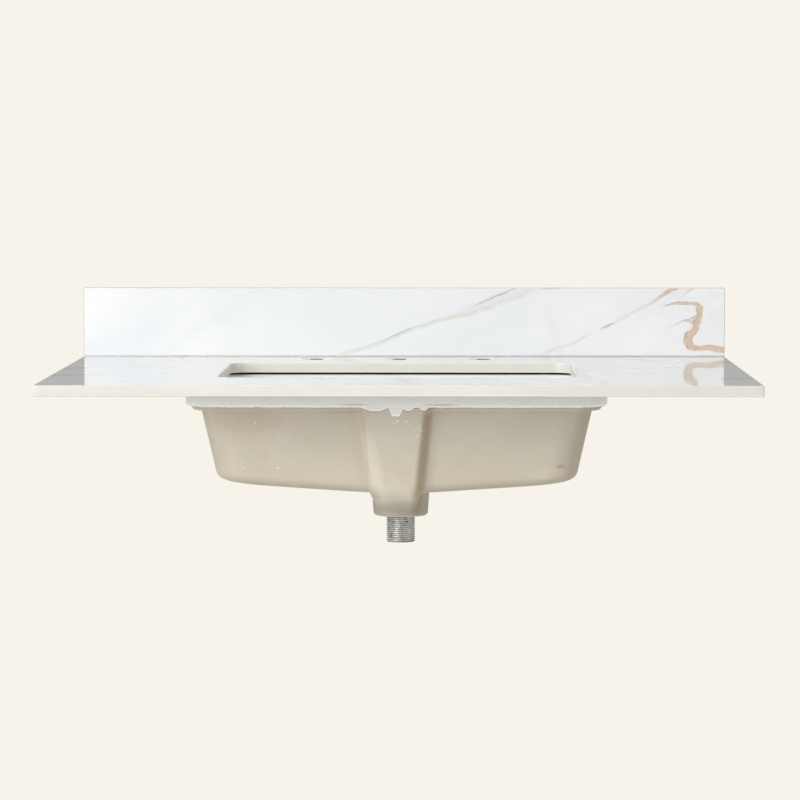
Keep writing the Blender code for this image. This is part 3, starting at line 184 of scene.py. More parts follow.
class Tree:
    """A node tree that is being built."""

    def __init__(self, nodes):
        self.nodes = nodes
        nodes.nodes.clear()

    def add(self, kind, settings=None, inputs=None, output=0):
        """One node: its type, its settings, the values or links of its sockets, and the output
        that is wanted."""
        node = self.nodes.nodes.new(kind)
        for name, value in (settings or {}).items():
            setattr(node, name, value)
        for name, value in (inputs or {}).items():
            socket = socket_called(node.inputs, name)
            if isinstance(value, Wire):
                self.nodes.links.new(value.socket, socket)
            else:
                socket.default_value = value
        return Wire(self, socket_called(node.outputs, output)) if node.outputs else None

    def maths(self, operation, *values):
        return self.add("ShaderNodeMath", {"operation": operation}, dict(enumerate(values)))

    def band(self, value, low, high):
        """0 below low and 1 above high, with a smooth climb between."""
        limits = {"Value": value, "From Min": low, "From Max": high}
        return self.add("ShaderNodeMapRange", {"interpolation_type": "SMOOTHSTEP"}, limits)

    def rise(self, value, low, high, base=0.0):
        """0 below low and 1 above high, in millimetres up from a base."""
        return self.band(value, base + low * MM, base + high * MM)

    def fall(self, value, low, high, base=0.0):
        """1 below low and 0 above high, in millimetres up from a base."""
        return 1 - self.rise(value, low, high, base)

    def span(self, value, start, low, high, end):
        """1 from low to high, and 0 before the start and past the end, in millimetres."""
        return self.rise(value, start, low) * self.fall(value, high, end)

    def most(self, *masks):
        """The strongest of several masks."""
        strongest = masks[0]
        for mask in masks[1:]:
            strongest = self.maths("MAXIMUM", mask, strongest)
        return strongest

    def noise(self, at, scale, detail=2.0, roughness=0.5, distortion=0.0):
        values = {"Vector": at, "Scale": scale, "Detail": detail, "Roughness": roughness}
        return self.add("ShaderNodeTexNoise", None, {**values, "Distortion": distortion})

    def tint(self, mask, below, above):
        colours = {"Factor_Float": mask, "A_Color": below, "B_Color": above}
        return self.add("ShaderNodeMix", {"data_type": "RGBA"}, colours, "Result_Color")

    def stained(self, colour, *stains):
        """The colour with stains over it in turn, each a mask and the red, green and blue of its
        shade."""
        for mask, stain in stains:
            colour = self.tint(mask, colour, shade(*stain))
        return colour

    def parts(self, vector):
        x = self.add("ShaderNodeSeparateXYZ", None, {"Vector": vector})
        return x, x.other("Y"), x.other("Z")

    def joined(self, **parts):
        """A vector from its X, Y and Z."""
        return self.add("ShaderNodeCombineXYZ", None, parts)

    def vector(self, operation, inputs, output=0):
        return self.add("ShaderNodeVectorMath", {"operation": operation}, inputs, output)

    def bump(self, height, distance, strength=1.0):
        values = {"Height": height, "Distance": distance, "Strength": strength}
        return self.add("ShaderNodeBump", None, values)


def start_finish(name):
    """A new material's tree, and where on the piece each point of it lies."""
    material = bpy.data.materials.new(name)
    material.use_nodes = True
    tree = Tree(material.node_tree)
    tree.material = material
    return tree, tree.add("ShaderNodeTexCoord", output="Object")


def close_finish(tree, **values):
    """Ends a material's tree in its shader. Words of a socket's name are joined by underscores."""
    inputs = {name.replace("_", " "): value for name, value in values.items()}
    shader = tree.add("ShaderNodeBsdfPrincipled", None, inputs)
    tree.add("ShaderNodeOutputMaterial", None, {"Surface": shader})
    return tree.material


def veined_stone(name):
    """Polished white stone with clouds, wisps and the veins whose distances its mesh carries. Some
    broad dark runs at the slab's ends are painted reflections.
    """
    tree, at = start_finish(name)
    x, y, z = tree.parts(at)
    along = x * 0.9 + (y + z) * 0.42
    across = (y + z) * 0.9 - x * 0.42
    drawn_out = tree.joined(X=along * 0.3, Y=across)
    clouds = tree.noise(at, 5, 3, 0.55)
    grain = tree.noise(at, 160, 3, 0.6)
    mottle = tree.noise(drawn_out, 13, 2)
    wisp_course = abs(tree.noise(at, 7, 3, 0.5, 0.6) - 0.5)
    wisps = (1 - tree.band(wisp_course, 0.0, 0.035)) * tree.band(tree.noise(at, 9, 1), 0.45, 0.7)
    colour = tree.stained(
        tree.tint(tree.band(clouds, 0.3, 0.7), shade(233, 236, 237), shade(241, 242, 242)),
        (tree.band(mottle, 0.52, 0.68) * 0.45, (227, 231, 240)),
        ((1 - tree.band(mottle, 0.32, 0.48)) * 0.4, (228, 235, 232)),
        (tree.band(grain, 0.35, 0.8) * 0.2, (226, 229, 230)),
        (wisps * 0.16, (206, 209, 210)),
    )
    coarse_wobble = (tree.noise(at, 75, 2) - 0.5) * (2.4 * MM)
    wobble = coarse_wobble + (tree.noise(at, 320, 2) - 0.5) * (1.2 * MM)
    swell = 0.6 + tree.noise(at, 120, 2, 0.6) * 0.8
    breaks = tree.band(tree.noise(at, 210, 2, 0.65), 0.3, 0.6)
    patches = tree.band(tree.noise(at, 170, 3, 0.7), 0.46, 0.6)

    def vein(group):
        """Distance from the nearest vein of a group, its half width, strength and warmth."""
        stored = tree.add("ShaderNodeAttribute", {"attribute_name": group}, None, "Vector")
        offset, half_width, strength = tree.parts(stored)
        warmth = tree.add("ShaderNodeAttribute", {"attribute_name": f"{group}_warmth"}, None, "Fac")
        distance = abs(offset + wobble * tree.rise(half_width, 0, 3))
        return distance, half_width * swell, strength, warmth

    def filled(distance, half_width, strength, crisp):
        """The vein's body. Crisp is 0 where its edge is soft, and towards 1 where it is sharp."""
        inner, outer = half_width * crisp, half_width * (1.9 - crisp)
        return (1 - tree.band(distance, inner, outer)) * strength

    def halo(distance, half_width, strength, reach):
        """A soft glow round the vein, out to its half width times the reach."""
        return (1 - tree.band(distance, half_width * 0.5, half_width * reach)) * strength

    distance, half_width, strength, warmth = vein("haze_vein")
    haze = filled(distance, half_width, strength, 0.1)
    soft = tree.tint(warmth, shade(222, 222, 226), shade(221, 216, 204))
    colour = tree.tint(haze * (0.45 + breaks * 0.3), colour, soft)

    distance, half_width, strength, warmth = vein("beige_vein")
    band = filled(distance, half_width, strength, warmth * 0.4 + 0.1)
    beige = tree.tint(tree.band(warmth, 0.2, 0.9), shade(215, 210, 194), shade(212, 188, 164))
    colour = tree.tint(band * (0.5 + breaks * 0.35), colour, beige)

    distance, half_width, strength, warmth = vein("gold_vein")
    glow = tree.tint(warmth, shade(226, 228, 225), shade(234, 228, 219))
    colour = tree.tint(halo(distance, half_width, strength, 2.6) * 0.25, colour, glow)
    from_edge = abs(distance - half_width * 0.9)
    edge = (1 - tree.band(from_edge, half_width * 0.06, half_width * 0.34)) * breaks
    body = tree.tint(warmth, shade(221, 222, 212), shade(217, 192, 168))
    dark_edge = tree.tint(warmth, shade(208, 209, 202), shade(184, 148, 124))
    gold = tree.tint(edge * (0.2 + warmth * 0.7), body, dark_edge)
    gold = tree.stained(gold, (patches * warmth * 0.6, (198, 168, 139)))
    core = filled(distance, half_width, strength, warmth * 0.4 + 0.2)
    cover = tree.most(edge * strength * warmth, core)
    colour = tree.tint(cover * 0.9, colour, gold)

    # Thread veins, and among them the broad dark runs at the slab's ends, which are painted reflections.
    distance, half_width, strength, warmth = vein("thread_vein_and_reflection")
    blur = halo(distance, half_width, strength, 4)
    colour = tree.stained(colour, (blur * 0.35, (222, 222, 228)))
    thread = filled(distance, half_width, strength, warmth * 0.3 + 0.2)
    thread_shade = tree.tint(warmth, shade(186, 188, 193), shade(186, 163, 148))
    colour = tree.tint(thread * (0.6 + breaks * 0.4), colour, thread_shade)

    polish = 0.034 + tree.noise(at, 30, 3, 0.6) * 0.024 + thread * 0.05
    ripple = tree.bump(tree.noise(at, 22, 2, 0.5), 0.02 * MM, 0.25)
    return close_finish(tree, Base_Color=colour, Roughness=polish, IOR=1.5, Normal=ripple)


def honed_edge(name):
    """The sawn and honed edge of the same stone: creamier, with saw haze and small pits. Painted
    highlights run along the counter's top arris and along the front's foot. Painted shade greys
    the foot's underside, the arrises of the ends and the back of the strip's top, darkens the front
    face, most towards its left, and darkens the cut-out's left end."""
    tree, at = start_finish(name)
    x, y, z = tree.parts(at)
    haze = tree.noise(at, 14, 3, 0.55)
    grain = tree.noise(at, 420, 3, 0.6)
    pits = tree.band(tree.noise(at, 700, 2, 0.6), 0.68, 0.76)
    end_x = SLAB_WIDTH / 2
    on_counter = tree.fall(z, 1, 2, SLAB_THICKNESS)
    # Painted highlights: a pale line along the counter's top arris, and one along the front's foot.
    upper_arris_highlight = tree.rise(z, -0.8, -0.5, SLAB_THICKNESS) * on_counter
    foot_highlight = tree.span(z, 0.1, 0.5, 1.2, 1.7)
    # Painted shade: grey under the foot, on the arrises of the right end and on the strip's left arris.
    foot_shade = tree.fall(z, 0.3, 0.6)
    end_arris_shade = tree.rise(x, -0.9, -0.6, end_x) * tree.fall(x, -0.12, -0.02, end_x)
    left_arris_shade = tree.fall(x, 0.6, 0.9, -end_x) * tree.rise(z, 1, 2, SLAB_THICKNESS)
    # Painted shade: the front face is darker than the other edges, and darker still towards the left.
    front_face = tree.fall(y, 3, 6, SLAB_FRONT_Y)
    front_left_shade = tree.fall(x, -420, 60)
    # Painted shade in the cut-out's left end.
    cutout_end_shade = tree.fall(x, -200, -150) * tree.span(y, -122, -114, -108, -104)
    # Painted shade: a grey line at the back of the strip's top, towards both ends.
    far_ends = tree.most(tree.rise(x, 150, 164), tree.fall(x, -330, -230))
    back_line_shade = tree.rise(y, 24, 26) * tree.rise(z, 90, 94) * far_ends
    colour = tree.stained(
        tree.tint(tree.band(haze, 0.3, 0.7), shade(222, 220, 213), shade(227, 225, 218)),
        (tree.band(grain, 0.45, 0.8) * 0.2, (212, 209, 199)),
        (pits * 0.35, (190, 185, 174)),
        (upper_arris_highlight * 0.8, (244, 243, 240)),
        (foot_highlight * 0.7, (246, 245, 241)),
        (foot_shade, (146, 149, 147)),
        (end_arris_shade * 0.9, (150, 150, 146)),
        (left_arris_shade * 0.8, (160, 160, 156)),
        (front_face * 0.25, (200, 198, 190)),
        (front_left_shade * front_face * 0.35, (190, 187, 178)),
        (cutout_end_shade * 0.3, (188, 178, 162)),
        (back_line_shade * 0.8, (160, 160, 156)),
    )
    relief = tree.bump(grain * 0.5 - pits, 0.04 * MM, 0.5)
    roughness = 0.24 + grain * 0.14
    return close_finish(tree, Base_Color=colour, Roughness=roughness, IOR=1.5, Normal=relief)


def drilled_wall(name):
    """The wall of a core-drilled hole: ground stone, with painted shade in a dark patch below the
    rim, at the front and back of each hole.
    """
    tree, at = start_finish(name)
    x, _, z = tree.parts(at)
    grain = tree.noise(at, 380, 3, 0.6)
    spacings_over = (x - FAUCET_SET_OVER) / FAUCET_SPACING
    from_middle = abs(tree.maths("FRACT", spacings_over + 0.5) - 0.5) * FAUCET_SPACING
    # Painted shade: a dark patch just below the rim, where the wall faces front or back.
    hole_shade = tree.fall(from_middle + grain * (3 * MM), 8, 11)
    below_rim = tree.fall(z, -0.9, -0.5, SLAB_THICKNESS)
    colour = tree.stained(
        shade(232, 234, 234),
        (hole_shade * below_rim, (112, 104, 97)),
        (tree.band(grain, 0.5, 0.8) * 0.2, (205, 204, 198)),
    )
    relief = tree.bump(grain, 0.05 * MM, 0.5)
    roughness = 0.55 + grain * 0.1
    return close_finish(tree, Base_Color=colour, Roughness=roughness, IOR=1.5, Normal=relief)


polished_stone = veined_stone("polished_stone")
stone_edge = honed_edge("stone_edge")
drilled_stone = drilled_wall("drilled_stone")


def spaced(start, end, spacing):
    """Points from start up to, but not including, end."""
    steps = max(1, round((end - start).length / spacing))
    return [start.lerp(end, step / steps) for step in range(steps)]


def frame_outline(low, high, corner, spacing, facing=1):
    """(point, direction) round a rectangle with rounded corners. Facing is -1 where the stone
    lies outside the outline."""
    middle = (low + high) / 2
    half = (high - low) / 2 - Vector((corner, corner))
    outline = []
    quarter_length = corner * 1.6
    turns = max(3, round(quarter_length / spacing))
    signs = ((1, 1), (-1, 1), (-1, -1), (1, -1))
    for quarter, (side_x, side_y) in enumerate(signs):
        centre = middle + Vector((side_x * half.x, side_y * half.y))
        for step in range(turns):
            angle = math.radians(90) * (quarter + step / turns)
            away = Vector((math.cos(angle), math.sin(angle)))
            outline.append((centre + away * corner, away * facing))
        angle = math.radians(90) * (quarter + 1)
        away = Vector((round(math.cos(angle)), round(math.sin(angle))))
        next_x, next_y = signs[(quarter + 1) % 4]
        next_centre = middle + Vector((next_x * half.x, next_y * half.y))
        for point in spaced(centre + away * corner, next_centre + away * corner, spacing):
            outline.append((point, away * facing))
    return outline


def hole_outline(centre, radius, steps):
    """(point, direction) round a drilled hole, the direction out of the stone."""
    outline = []
    for step in range(steps):
        away = Vector((math.cos(2 * math.pi * step / steps), math.sin(2 * math.pi * step / steps)))
        outline.append((centre + away * radius, -away))
    return outline


def inside(point, polygon):
    """True where a point lies inside a closed polygon."""
    found = False
    for (ax, ay), (bx, by) in zip(polygon, polygon[1:] + polygon[:1]):
        if (ay > point[1]) != (by > point[1]) and point[0] < (bx - ax) * (point[1] - ay) / (by - ay) + ax:
            found = not found
    return found


def mesh_from(shape, name):
    """A mesh from a closed bmesh, with its faces turned outwards."""
    bmesh.ops.recalc_face_normals(shape, faces=shape.faces)
    mesh = bpy.data.meshes.new(name)
    shape.to_mesh(mesh)
    shape.free()
    return mesh


def fill_face(shape, rings, height, spacing):
    """Fills a flat face between its edge and its holes with a net of points."""
    edge_points = [vert for ring in rings for vert in ring]
    polygons = [[vert.co.xy[:] for vert in ring] for ring in rings]
    lines, first = [], 0
    for ring in rings:
        lines += [(first + index, first + (index + 1) % len(ring)) for index in range(len(ring))]
        first += len(ring)
    low, high = np.min(polygons[0], axis=0), np.max(polygons[0], axis=0)
    near = np.array([vert.co.xy[:] for vert in edge_points])

    def in_hole(point):
        return any(inside(point, polygon) for polygon in polygons[1:])

    inner = []
    for x in np.arange(low[0] + spacing, high[0] - spacing / 2, spacing):
        for y in np.arange(low[1] + spacing, high[1] - spacing / 2, spacing):
            if in_hole((x, y)):
                continue
            if np.min(np.abs(near - (x, y)).sum(axis=1)) > spacing * 0.5:
                inner.append((x, y))
    points = [Vector(vert.co.xy) for vert in edge_points] + [Vector(point) for point in inner]
    net, _, triangles, sources, _, _ = delaunay_2d_cdt(points, lines, [], 1, 1e-7, True)
    corners = []
    for place, source in zip(net, sources):
        known = [index for index in source if index < len(edge_points)]
        corners.append(edge_points[known[0]] if known else shape.verts.new((*place, height)))
    for triangle in triangles:
        middle = sum((net[index] for index in triangle), Vector((0, 0))) / 3
        if not in_hole(middle):
            shape.faces.new([corners[index] for index in triangle])


def stone_plate(name, outlines, thickness, ease, grid, under_grid):
    """A flat plate with a fine net of points on its face and quarter-round arrises. The first
    outline is its edge and the others are holes. The face is slot 0, the edge and the cut-out slot
    1, and the walls of drilled holes slot 2."""
    shape = bmesh.new()
    turns = np.linspace(0, math.pi / 2, ARRIS_ROWS)
    profile = [(1 - math.sin(turn), 1 - math.cos(turn)) for turn in turns]
    levels = [(inset, thickness, -drop) for inset, drop in profile]
    levels += [(inset, 0.0, drop) for inset, drop in reversed(profile)]
    rows = []
    for inset, base, rise in levels:
        rings = []
        for number, outline in enumerate(outlines):
            reach = ease if number < 2 else HOLE_EASE
            ring = [(*(point - away * inset * reach), base + rise * reach) for point, away in outline]
            rings.append([shape.verts.new(place) for place in ring])
        rows.append(rings)
    for upper, lower in zip(rows, rows[1:]):
        for number, (ring, below) in enumerate(zip(upper, lower)):
            for index in range(len(ring)):
                beside = (index + 1) % len(ring)
                face = shape.faces.new((ring[index], below[index], below[beside], ring[beside]))
                face.material_index = 1 if number < 2 else 2
                face.smooth = True
    fill_face(shape, rows[0], thickness, grid)
    fill_face(shape, rows[-1], 0.0, under_grid)
    return mesh_from(shape, name)


def smoothed(stops, steps=8):
    """The stops of a vein with a smooth run between them."""
    run = [np.array(stop, float) for stop in stops]
    run = [2 * run[0] - run[1], *run, 2 * run[-1] - run[-2]]
    points = []
    for a, b, c, d in zip(run, run[1:], run[2:], run[3:]):
        for step in range(steps):
            t = step / steps
            square, cube = 2 * a - 5 * b + 4 * c - d, 3 * b - a - 3 * c + d
            points.append(0.5 * (2 * b + (c - a) * t + square * t**2 + cube * t**3))
    return points + [run[-2]]


def carry_veins(mesh, places, group, veins, grid):
    """Stores at every vertex its signed distance from the nearest vein's middle line, that
    vein's half width and strength, and its warmth. A vein keeps its strength until a point is
    clear of it and has none half as far again, so nothing shows where the nearest vein changes."""
    count = len(places)
    best = np.full(count, 1e9)
    stored = np.tile((1.0, MM, 0.0), (count, 1))
    warmth = np.zeros(count)
    for vein in veins:
        line = smoothed(vein)
        for start, end in zip(line, line[1:]):
            step = end[:2] - start[:2]
            offset = places - start[:2]
            along = np.clip(offset @ step / max(step @ step, 1e-9), 0, 1)
            apart = offset - along[:, None] * step
            distance = np.hypot(apart[:, 0], apart[:, 1])
            side = np.where(step[0] * apart[:, 1] - step[1] * apart[:, 0] < 0, -1, 1)
            half_width = start[2] + (end[2] - start[2]) * along
            clear = 1.5 * half_width + 1.2 * grid / MM
            fade = np.clip(3 - 2 * distance / clear, 0, 1)
            strength = (start[3] + (end[3] - start[3]) * along) * fade
            reach = distance / np.maximum(half_width, THINNEST_VEIN)
            closer = reach < best
            best[closer] = reach[closer]
            values = np.stack((distance * side * MM, half_width * MM, strength), axis=1)
            stored[closer] = values[closer]
            warmth[closer] = (start[4] + (end[4] - start[4]) * along)[closer]
    stored[:, 0] = np.clip(stored[:, 0], -FARTHEST_VEIN, FARTHEST_VEIN)
    vectors = mesh.attributes.new(group, "FLOAT_VECTOR", "POINT")
    vectors.data.foreach_set("vector", stored.astype(np.float32).ravel())
    values = mesh.attributes.new(f"{group}_warmth", "FLOAT", "POINT")
    values.data.foreach_set("value", warmth.astype(np.float32))


def vertex_places(mesh):
    places = np.empty(len(mesh.vertices) * 3, np.float32)
    mesh.vertices.foreach_get("co", places)
    return places.reshape(-1, 3).astype(float)


def fit_piece(name, mesh, slot, body, *nodes):
    """Puts a finished mesh in the scene in place of the CAD nodes that it stands for."""
    piece = bpy.data.objects.new(name, mesh)
    scene.collection.objects.link(piece)
    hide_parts(*nodes)
    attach(piece, body)


slab_low = Vector((-SLAB_WIDTH / 2, SLAB_FRONT_Y))
slab_high = Vector((SLAB_WIDTH / 2, SLAB_BACK_Y))
cutout_half = Vector(CUTOUT) / 2
slab_outlines = [
    frame_outline(slab_low, slab_high, SLAB_CORNER, SLAB_GRID),
    frame_outline(
        CUTOUT_CENTRE - cutout_half, CUTOUT_CENTRE + cutout_half, CUTOUT_CORNER, SLAB_GRID, -1
    ),
]
for steps_over in (-1, 0, 1):
    hole_centre = Vector((FAUCET_SET_OVER + steps_over * FAUCET_SPACING, FAUCET_Y))
    slab_outlines.append(hole_outline(hole_centre, FAUCET_HOLE_RADIUS, HOLE_STEPS))
slab_mesh = stone_plate(
    "stone_countertop", slab_outlines, SLAB_THICKNESS, SLAB_EASE, SLAB_GRID, SLAB_UNDER_GRID
)
for stone in (polished_stone, stone_edge, drilled_stone):
    slab_mesh.materials.append(stone)
slab_places = (vertex_places(slab_mesh)[:, :2] - (0, SLAB_FRONT_Y)) / MM
for group, veins in SLAB_VEINS.items():
    carry_veins(slab_mesh, slab_places, group, veins, SLAB_GRID)
fit_piece("stone_countertop", slab_mesh, "stone", "top", "countertop_slab")

# Backsplash: a strip sawn from the same slab, stood on the counter's back edge on a thin bead of
# grey-white silicone. Its face is polished, and its veins run on up from the counter's.
STRIP_HEIGHT = 83.0 * MM
STRIP_THICKNESS = 12.0 * MM
STRIP_FOOT_Z = 13.2 * MM
STRIP_EASE = 0.6 * MM
STRIP_CORNER = 1.0 * MM
STRIP_GRID = 2.5 * MM
STRIP_UNDER_GRID = 20.0 * MM

# Stops as on the slab: place across and height above the counter, half width, strength and warmth.
STRIP_VEINS = {
    "haze_vein": [
        [(55.8, 49.8, 1.5, 0.2, 0), (68.9, 52.8, 4, 0.6, 0), (83.7, 57.8, 5.5, 0.8, 0),
         (98.4, 62.7, 5.5, 0.8, 0), (113.1, 68.2, 6, 0.8, 0), (127.8, 73.1, 6, 0.8, 0),
         (142.5, 78.7, 6, 0.8, 0), (162, 87, 6, 0.8, 0)],
        [(322, 71, 1.5, 0.1, 0), (332, 77, 3.5, 0.5, 0), (348, 87, 5, 0.6, 0)],
        [(140, -3, 3, 0.3, 0.6), (162, 1, 3, 0.4, 0.6), (182, 8, 2.5, 0.3, 0.5),
         (204, 15.5, 2, 0.1, 0.5)],
        [(-300, 0, 6, 0.15, 0), (-262, 30, 7, 0.2, 0), (-214, 55, 6, 0.15, 0),
         (-180, 83, 6, 0.15, 0)],
    ],
    "beige_vein": [
        [(-86, -0.6, 1.8, 0.4, 0.2), (-72.4, 3.6, 1.9, 0.6, 0.2), (-51.2, 9, 1.9, 0.6, 0.2),
         (-30.1, 16.1, 2, 0.7, 0.2), (-12.4, 23.6, 2.1, 0.7, 0.2), (2.9, 30.6, 2, 0.7, 0.2),
         (13.4, 34.3, 1.9, 0.6, 0.2), (25.2, 37.9, 2, 0.7, 0.2), (44.4, 44.8, 2.1, 0.7, 0.3),
         (60.3, 48.4, 2.4, 0.8, 0.4), (71.4, 50.8, 2.4, 0.6, 0.4), (81.2, 52.2, 2.8, 0.7, 0.4),
         (93.5, 57.2, 2.2, 0.4, 0.4), (102.1, 59.4, 2.6, 0.7, 0.4), (111.9, 64, 2, 0.3, 0.4),
         (128, 69, 2, 0.3, 0.4), (143.8, 73.6, 2.6, 0.5, 0.4), (149.9, 78.7, 2.4, 0.4, 0.4),
         (160, 88, 2.4, 0.4, 0.4)],
        [(358.3, 86.2, 1.7, 0.9, 0.4), (356.5, 84.9, 1.7, 0.9, 0.4), (348.8, 80.6, 1.5, 0.9, 0.4),
         (344.4, 76.2, 1.2, 0.7, 0.4), (340.1, 72.4, 1, 0.5, 0.4), (335.1, 68.3, 0.6, 0.2, 0.4)],
        [(367, 46.2, 4, 0, 1), (361.6, 45.6, 4.4, 1, 1), (354.9, 44, 3.9, 1, 1),
         (349.3, 43.5, 2, 0.9, 1), (344.4, 44, 0.9, 0.8, 1), (340.2, 43.2, 0.5, 0.4, 1)],
    ],
    "gold_vein": [
        [(162.4, 0.6, 1.2, 0.6, 0.1), (169.7, 2.5, 1.2, 0.5, 0.1), (179.8, 7.3, 1.2, 0.6, 0.15),
         (191.1, 11.4, 1.2, 0.6, 0.15), (202.4, 14.6, 1.2, 0.5, 0.15), (211.1, 17.9, 1.4, 0.6, 0.2),
         (219.9, 22.7, 1.4, 0.7, 0.2), (229.8, 28.4, 1.4, 0.3, 0.2), (237.2, 32.1, 1.2, 0.1, 0.2),
         (246.6, 36.1, 1.5, 0.6, 0.25), (254.3, 39.4, 1.7, 0.8, 0.3), (260.3, 42.1, 1.5, 0.5, 0.3),
         (271.4, 48.7, 2.5, 0.4, 0.3), (280, 53.8, 1.7, 0.5, 0.35), (289.8, 58.5, 1.7, 0.6, 0.4),
         (296.4, 61.9, 1.7, 0.55, 0.5), (305.1, 67.3, 1.8, 0.6, 0.6), (311.7, 71.3, 2, 0.8, 0.8),
         (319.3, 77.3, 2.2, 1, 0.95), (326.9, 81.7, 2.2, 1, 1), (336.2, 85.6, 2.5, 1, 1)],
        [(393.7, 7.7, 3.6, 1, 1), (383.3, 9.4, 3.7, 1, 1), (375.4, 11.2, 3.1, 1, 1),
         (366.7, 10.5, 2.7, 1, 1), (360, 10.1, 2.6, 1, 1), (353.2, 11.8, 4, 1, 1),
         (350, 16.1, 5.4, 1, 1), (349.1, 21.1, 5, 1, 1), (351, 26, 5.2, 1, 1),
         (355.9, 31.5, 3.7, 1, 1), (358.1, 36.7, 3.9, 1, 1), (359.2, 41.3, 3.7, 1, 1),
         (361.2, 45.6, 2.7, 1, 1), (362.6, 49.9, 2.7, 1, 1), (362.9, 54.2, 3.1, 1, 1),
         (363.1, 59.2, 3.9, 1, 1), (361.2, 63.7, 2.9, 1, 1), (356, 65.5, 1.7, 1, 1),
         (348.6, 65.7, 1.6, 1, 1), (340, 65.9, 1.6, 1, 1), (333.5, 65.6, 1.5, 1, 1),
         (324.8, 63.7, 0.9, 1, 1), (318.8, 62.2, 0.5, 0.8, 0.9), (315, 61.6, 0.3, 0.1, 0.8)],
    ],
    "thread_vein_and_reflection": [
        [(-72.4, 5.4, 0.5, 0.2, 0), (-40.7, 14.3, 0.6, 0.3, 0), (-21.9, 21.3, 0.6, 0.4, 0),
         (-12.4, 25.5, 0.8, 0.9, 0), (-5.4, 28.5, 0.8, 0.9, 0), (2.9, 32.5, 0.8, 0.9, 0),
         (13.4, 36.1, 0.7, 0.6, 0), (25.2, 39.7, 0.6, 0.3, 0), (37, 44.4, 0.6, 0.3, 0),
         (58, 50.9, 0.5, 0.1, 0)],
        [(242, 34, 0.3, 0.1, 0.6), (247, 36.3, 0.8, 1, 0.7), (254, 39.6, 0.8, 1, 0.7),
         (260, 42.1, 0.3, 0.2, 0.6)],
        [(82, 60.6, 0.5, 0.2, 0), (91, 64.5, 0.9, 0.7, 0), (103.3, 69.7, 1, 0.9, 0),
         (110.8, 73.4, 1.1, 1, 0), (120.7, 77.2, 1.1, 1, 0), (129.5, 80.9, 1, 0.9, 0),
         (139.6, 84.7, 0.9, 0.9, 0)],
        [(366, 53, 0.4, 0, 1), (361.6, 51.7, 0.5, 1, 1), (359.8, 50.8, 0.55, 1, 1),
         (354.5, 48.2, 0.6, 1, 1), (349, 45.8, 0.6, 0.9, 1), (342.5, 44.2, 0.55, 0.8, 1),
         (333.7, 39.5, 0.5, 0.5, 0.9), (325, 35.7, 0.45, 0.3, 0.8), (319.4, 33.3, 0.4, 0.1, 0.8)],
        [(335, 64, 0.3, 0.2, 0.9), (340, 64.3, 0.5, 0.9, 0.9), (349, 64.1, 0.5, 0.9, 0.9),
         (355, 63.6, 0.3, 0.2, 0.9)],
        [(369, 13.4, 0.3, 0.2, 0.9), (374, 14.2, 0.5, 0.8, 0.9), (384, 13, 0.5, 0.8, 0.9),
         (389, 11.6, 0.3, 0.2, 0.9)],
        [(168, 83, 0.4, 0.2, 0), (173, 83.2, 0.6, 0.8, 0), (188, 83.3, 0.6, 0.7, 0),
         (193, 83.4, 0.4, 0.2, 0)],
    ],
}

strip_low = Vector((-SLAB_WIDTH / 2, STRIP_FOOT_Z))
strip_high = Vector((SLAB_WIDTH / 2, STRIP_FOOT_Z + STRIP_HEIGHT))
strip_outline = frame_outline(strip_low, strip_high, STRIP_CORNER, STRIP_GRID)
strip_mesh = stone_plate(
    "stone_backsplash", [strip_outline], STRIP_THICKNESS, STRIP_EASE, STRIP_GRID, STRIP_UNDER_GRID
)
stood_up = Matrix.Rotation(math.radians(90), 4, "X")
strip_mesh.transform(Matrix.Translation((0, SLAB_BACK_Y, 0)) @ stood_up)
strip_mesh.materials.append(polished_stone)
strip_mesh.materials.append(stone_edge)
strip_places = (vertex_places(strip_mesh)[:, (0, 2)] - (0, SLAB_THICKNESS)) / MM
for group, veins in STRIP_VEINS.items():
    carry_veins(strip_mesh, strip_places, group, veins, STRIP_GRID)
fit_piece("stone_backsplash", strip_mesh, "stone", "top", "backsplash")


# Bead of pale silicone that fills the joint between the counter and the backsplash, wiped flush
# with a finger, and grey with grime where it meets the counter.
BEAD_SET_BACK = 0.15 * MM
BEAD_HOLLOW = 0.3 * MM
BEAD_ROWS = 160


def lofted(rings, closed):
    """Quads between neighbouring rings, either joined last to first or capped."""
    shape = bmesh.new()
    rows = [[shape.verts.new(point) for point in ring] for ring in rings]
    count = len(rings[0])
    pairs = list(zip(rows, rows[1:] + rows[:1])) if closed else list(zip(rows, rows[1:]))
    for row, following in pairs:
        for place in range(count):
            beside = (place + 1) % count
            shape.faces.new((row[place], row[beside], following[beside], following[place]))
    if not closed:
        shape.faces.new(rows[0])
        shape.faces.new(rows[-1])
    return shape


def silicone_bead(name):
    """A bead drawn along the joint, its front hollowed a little by the finger that wiped it."""
    low_y, high_y = SLAB_BACK_Y - STRIP_THICKNESS + BEAD_SET_BACK, SLAB_BACK_Y - BEAD_SET_BACK
    section = [(high_y, SLAB_THICKNESS), (high_y, STRIP_FOOT_Z)]
    for share in np.linspace(0, 1, 5):
        hollow = BEAD_HOLLOW * math.sin(math.pi * share)
        section.append((low_y + hollow, STRIP_FOOT_Z + (SLAB_THICKNESS - STRIP_FOOT_Z) * share))
    reach = SLAB_WIDTH / 2 - BEAD_SET_BACK
    rings = [[(x, y, z) for y, z in section] for x in np.linspace(-reach, reach, BEAD_ROWS)]
    return mesh_from(lofted(rings, False), name)


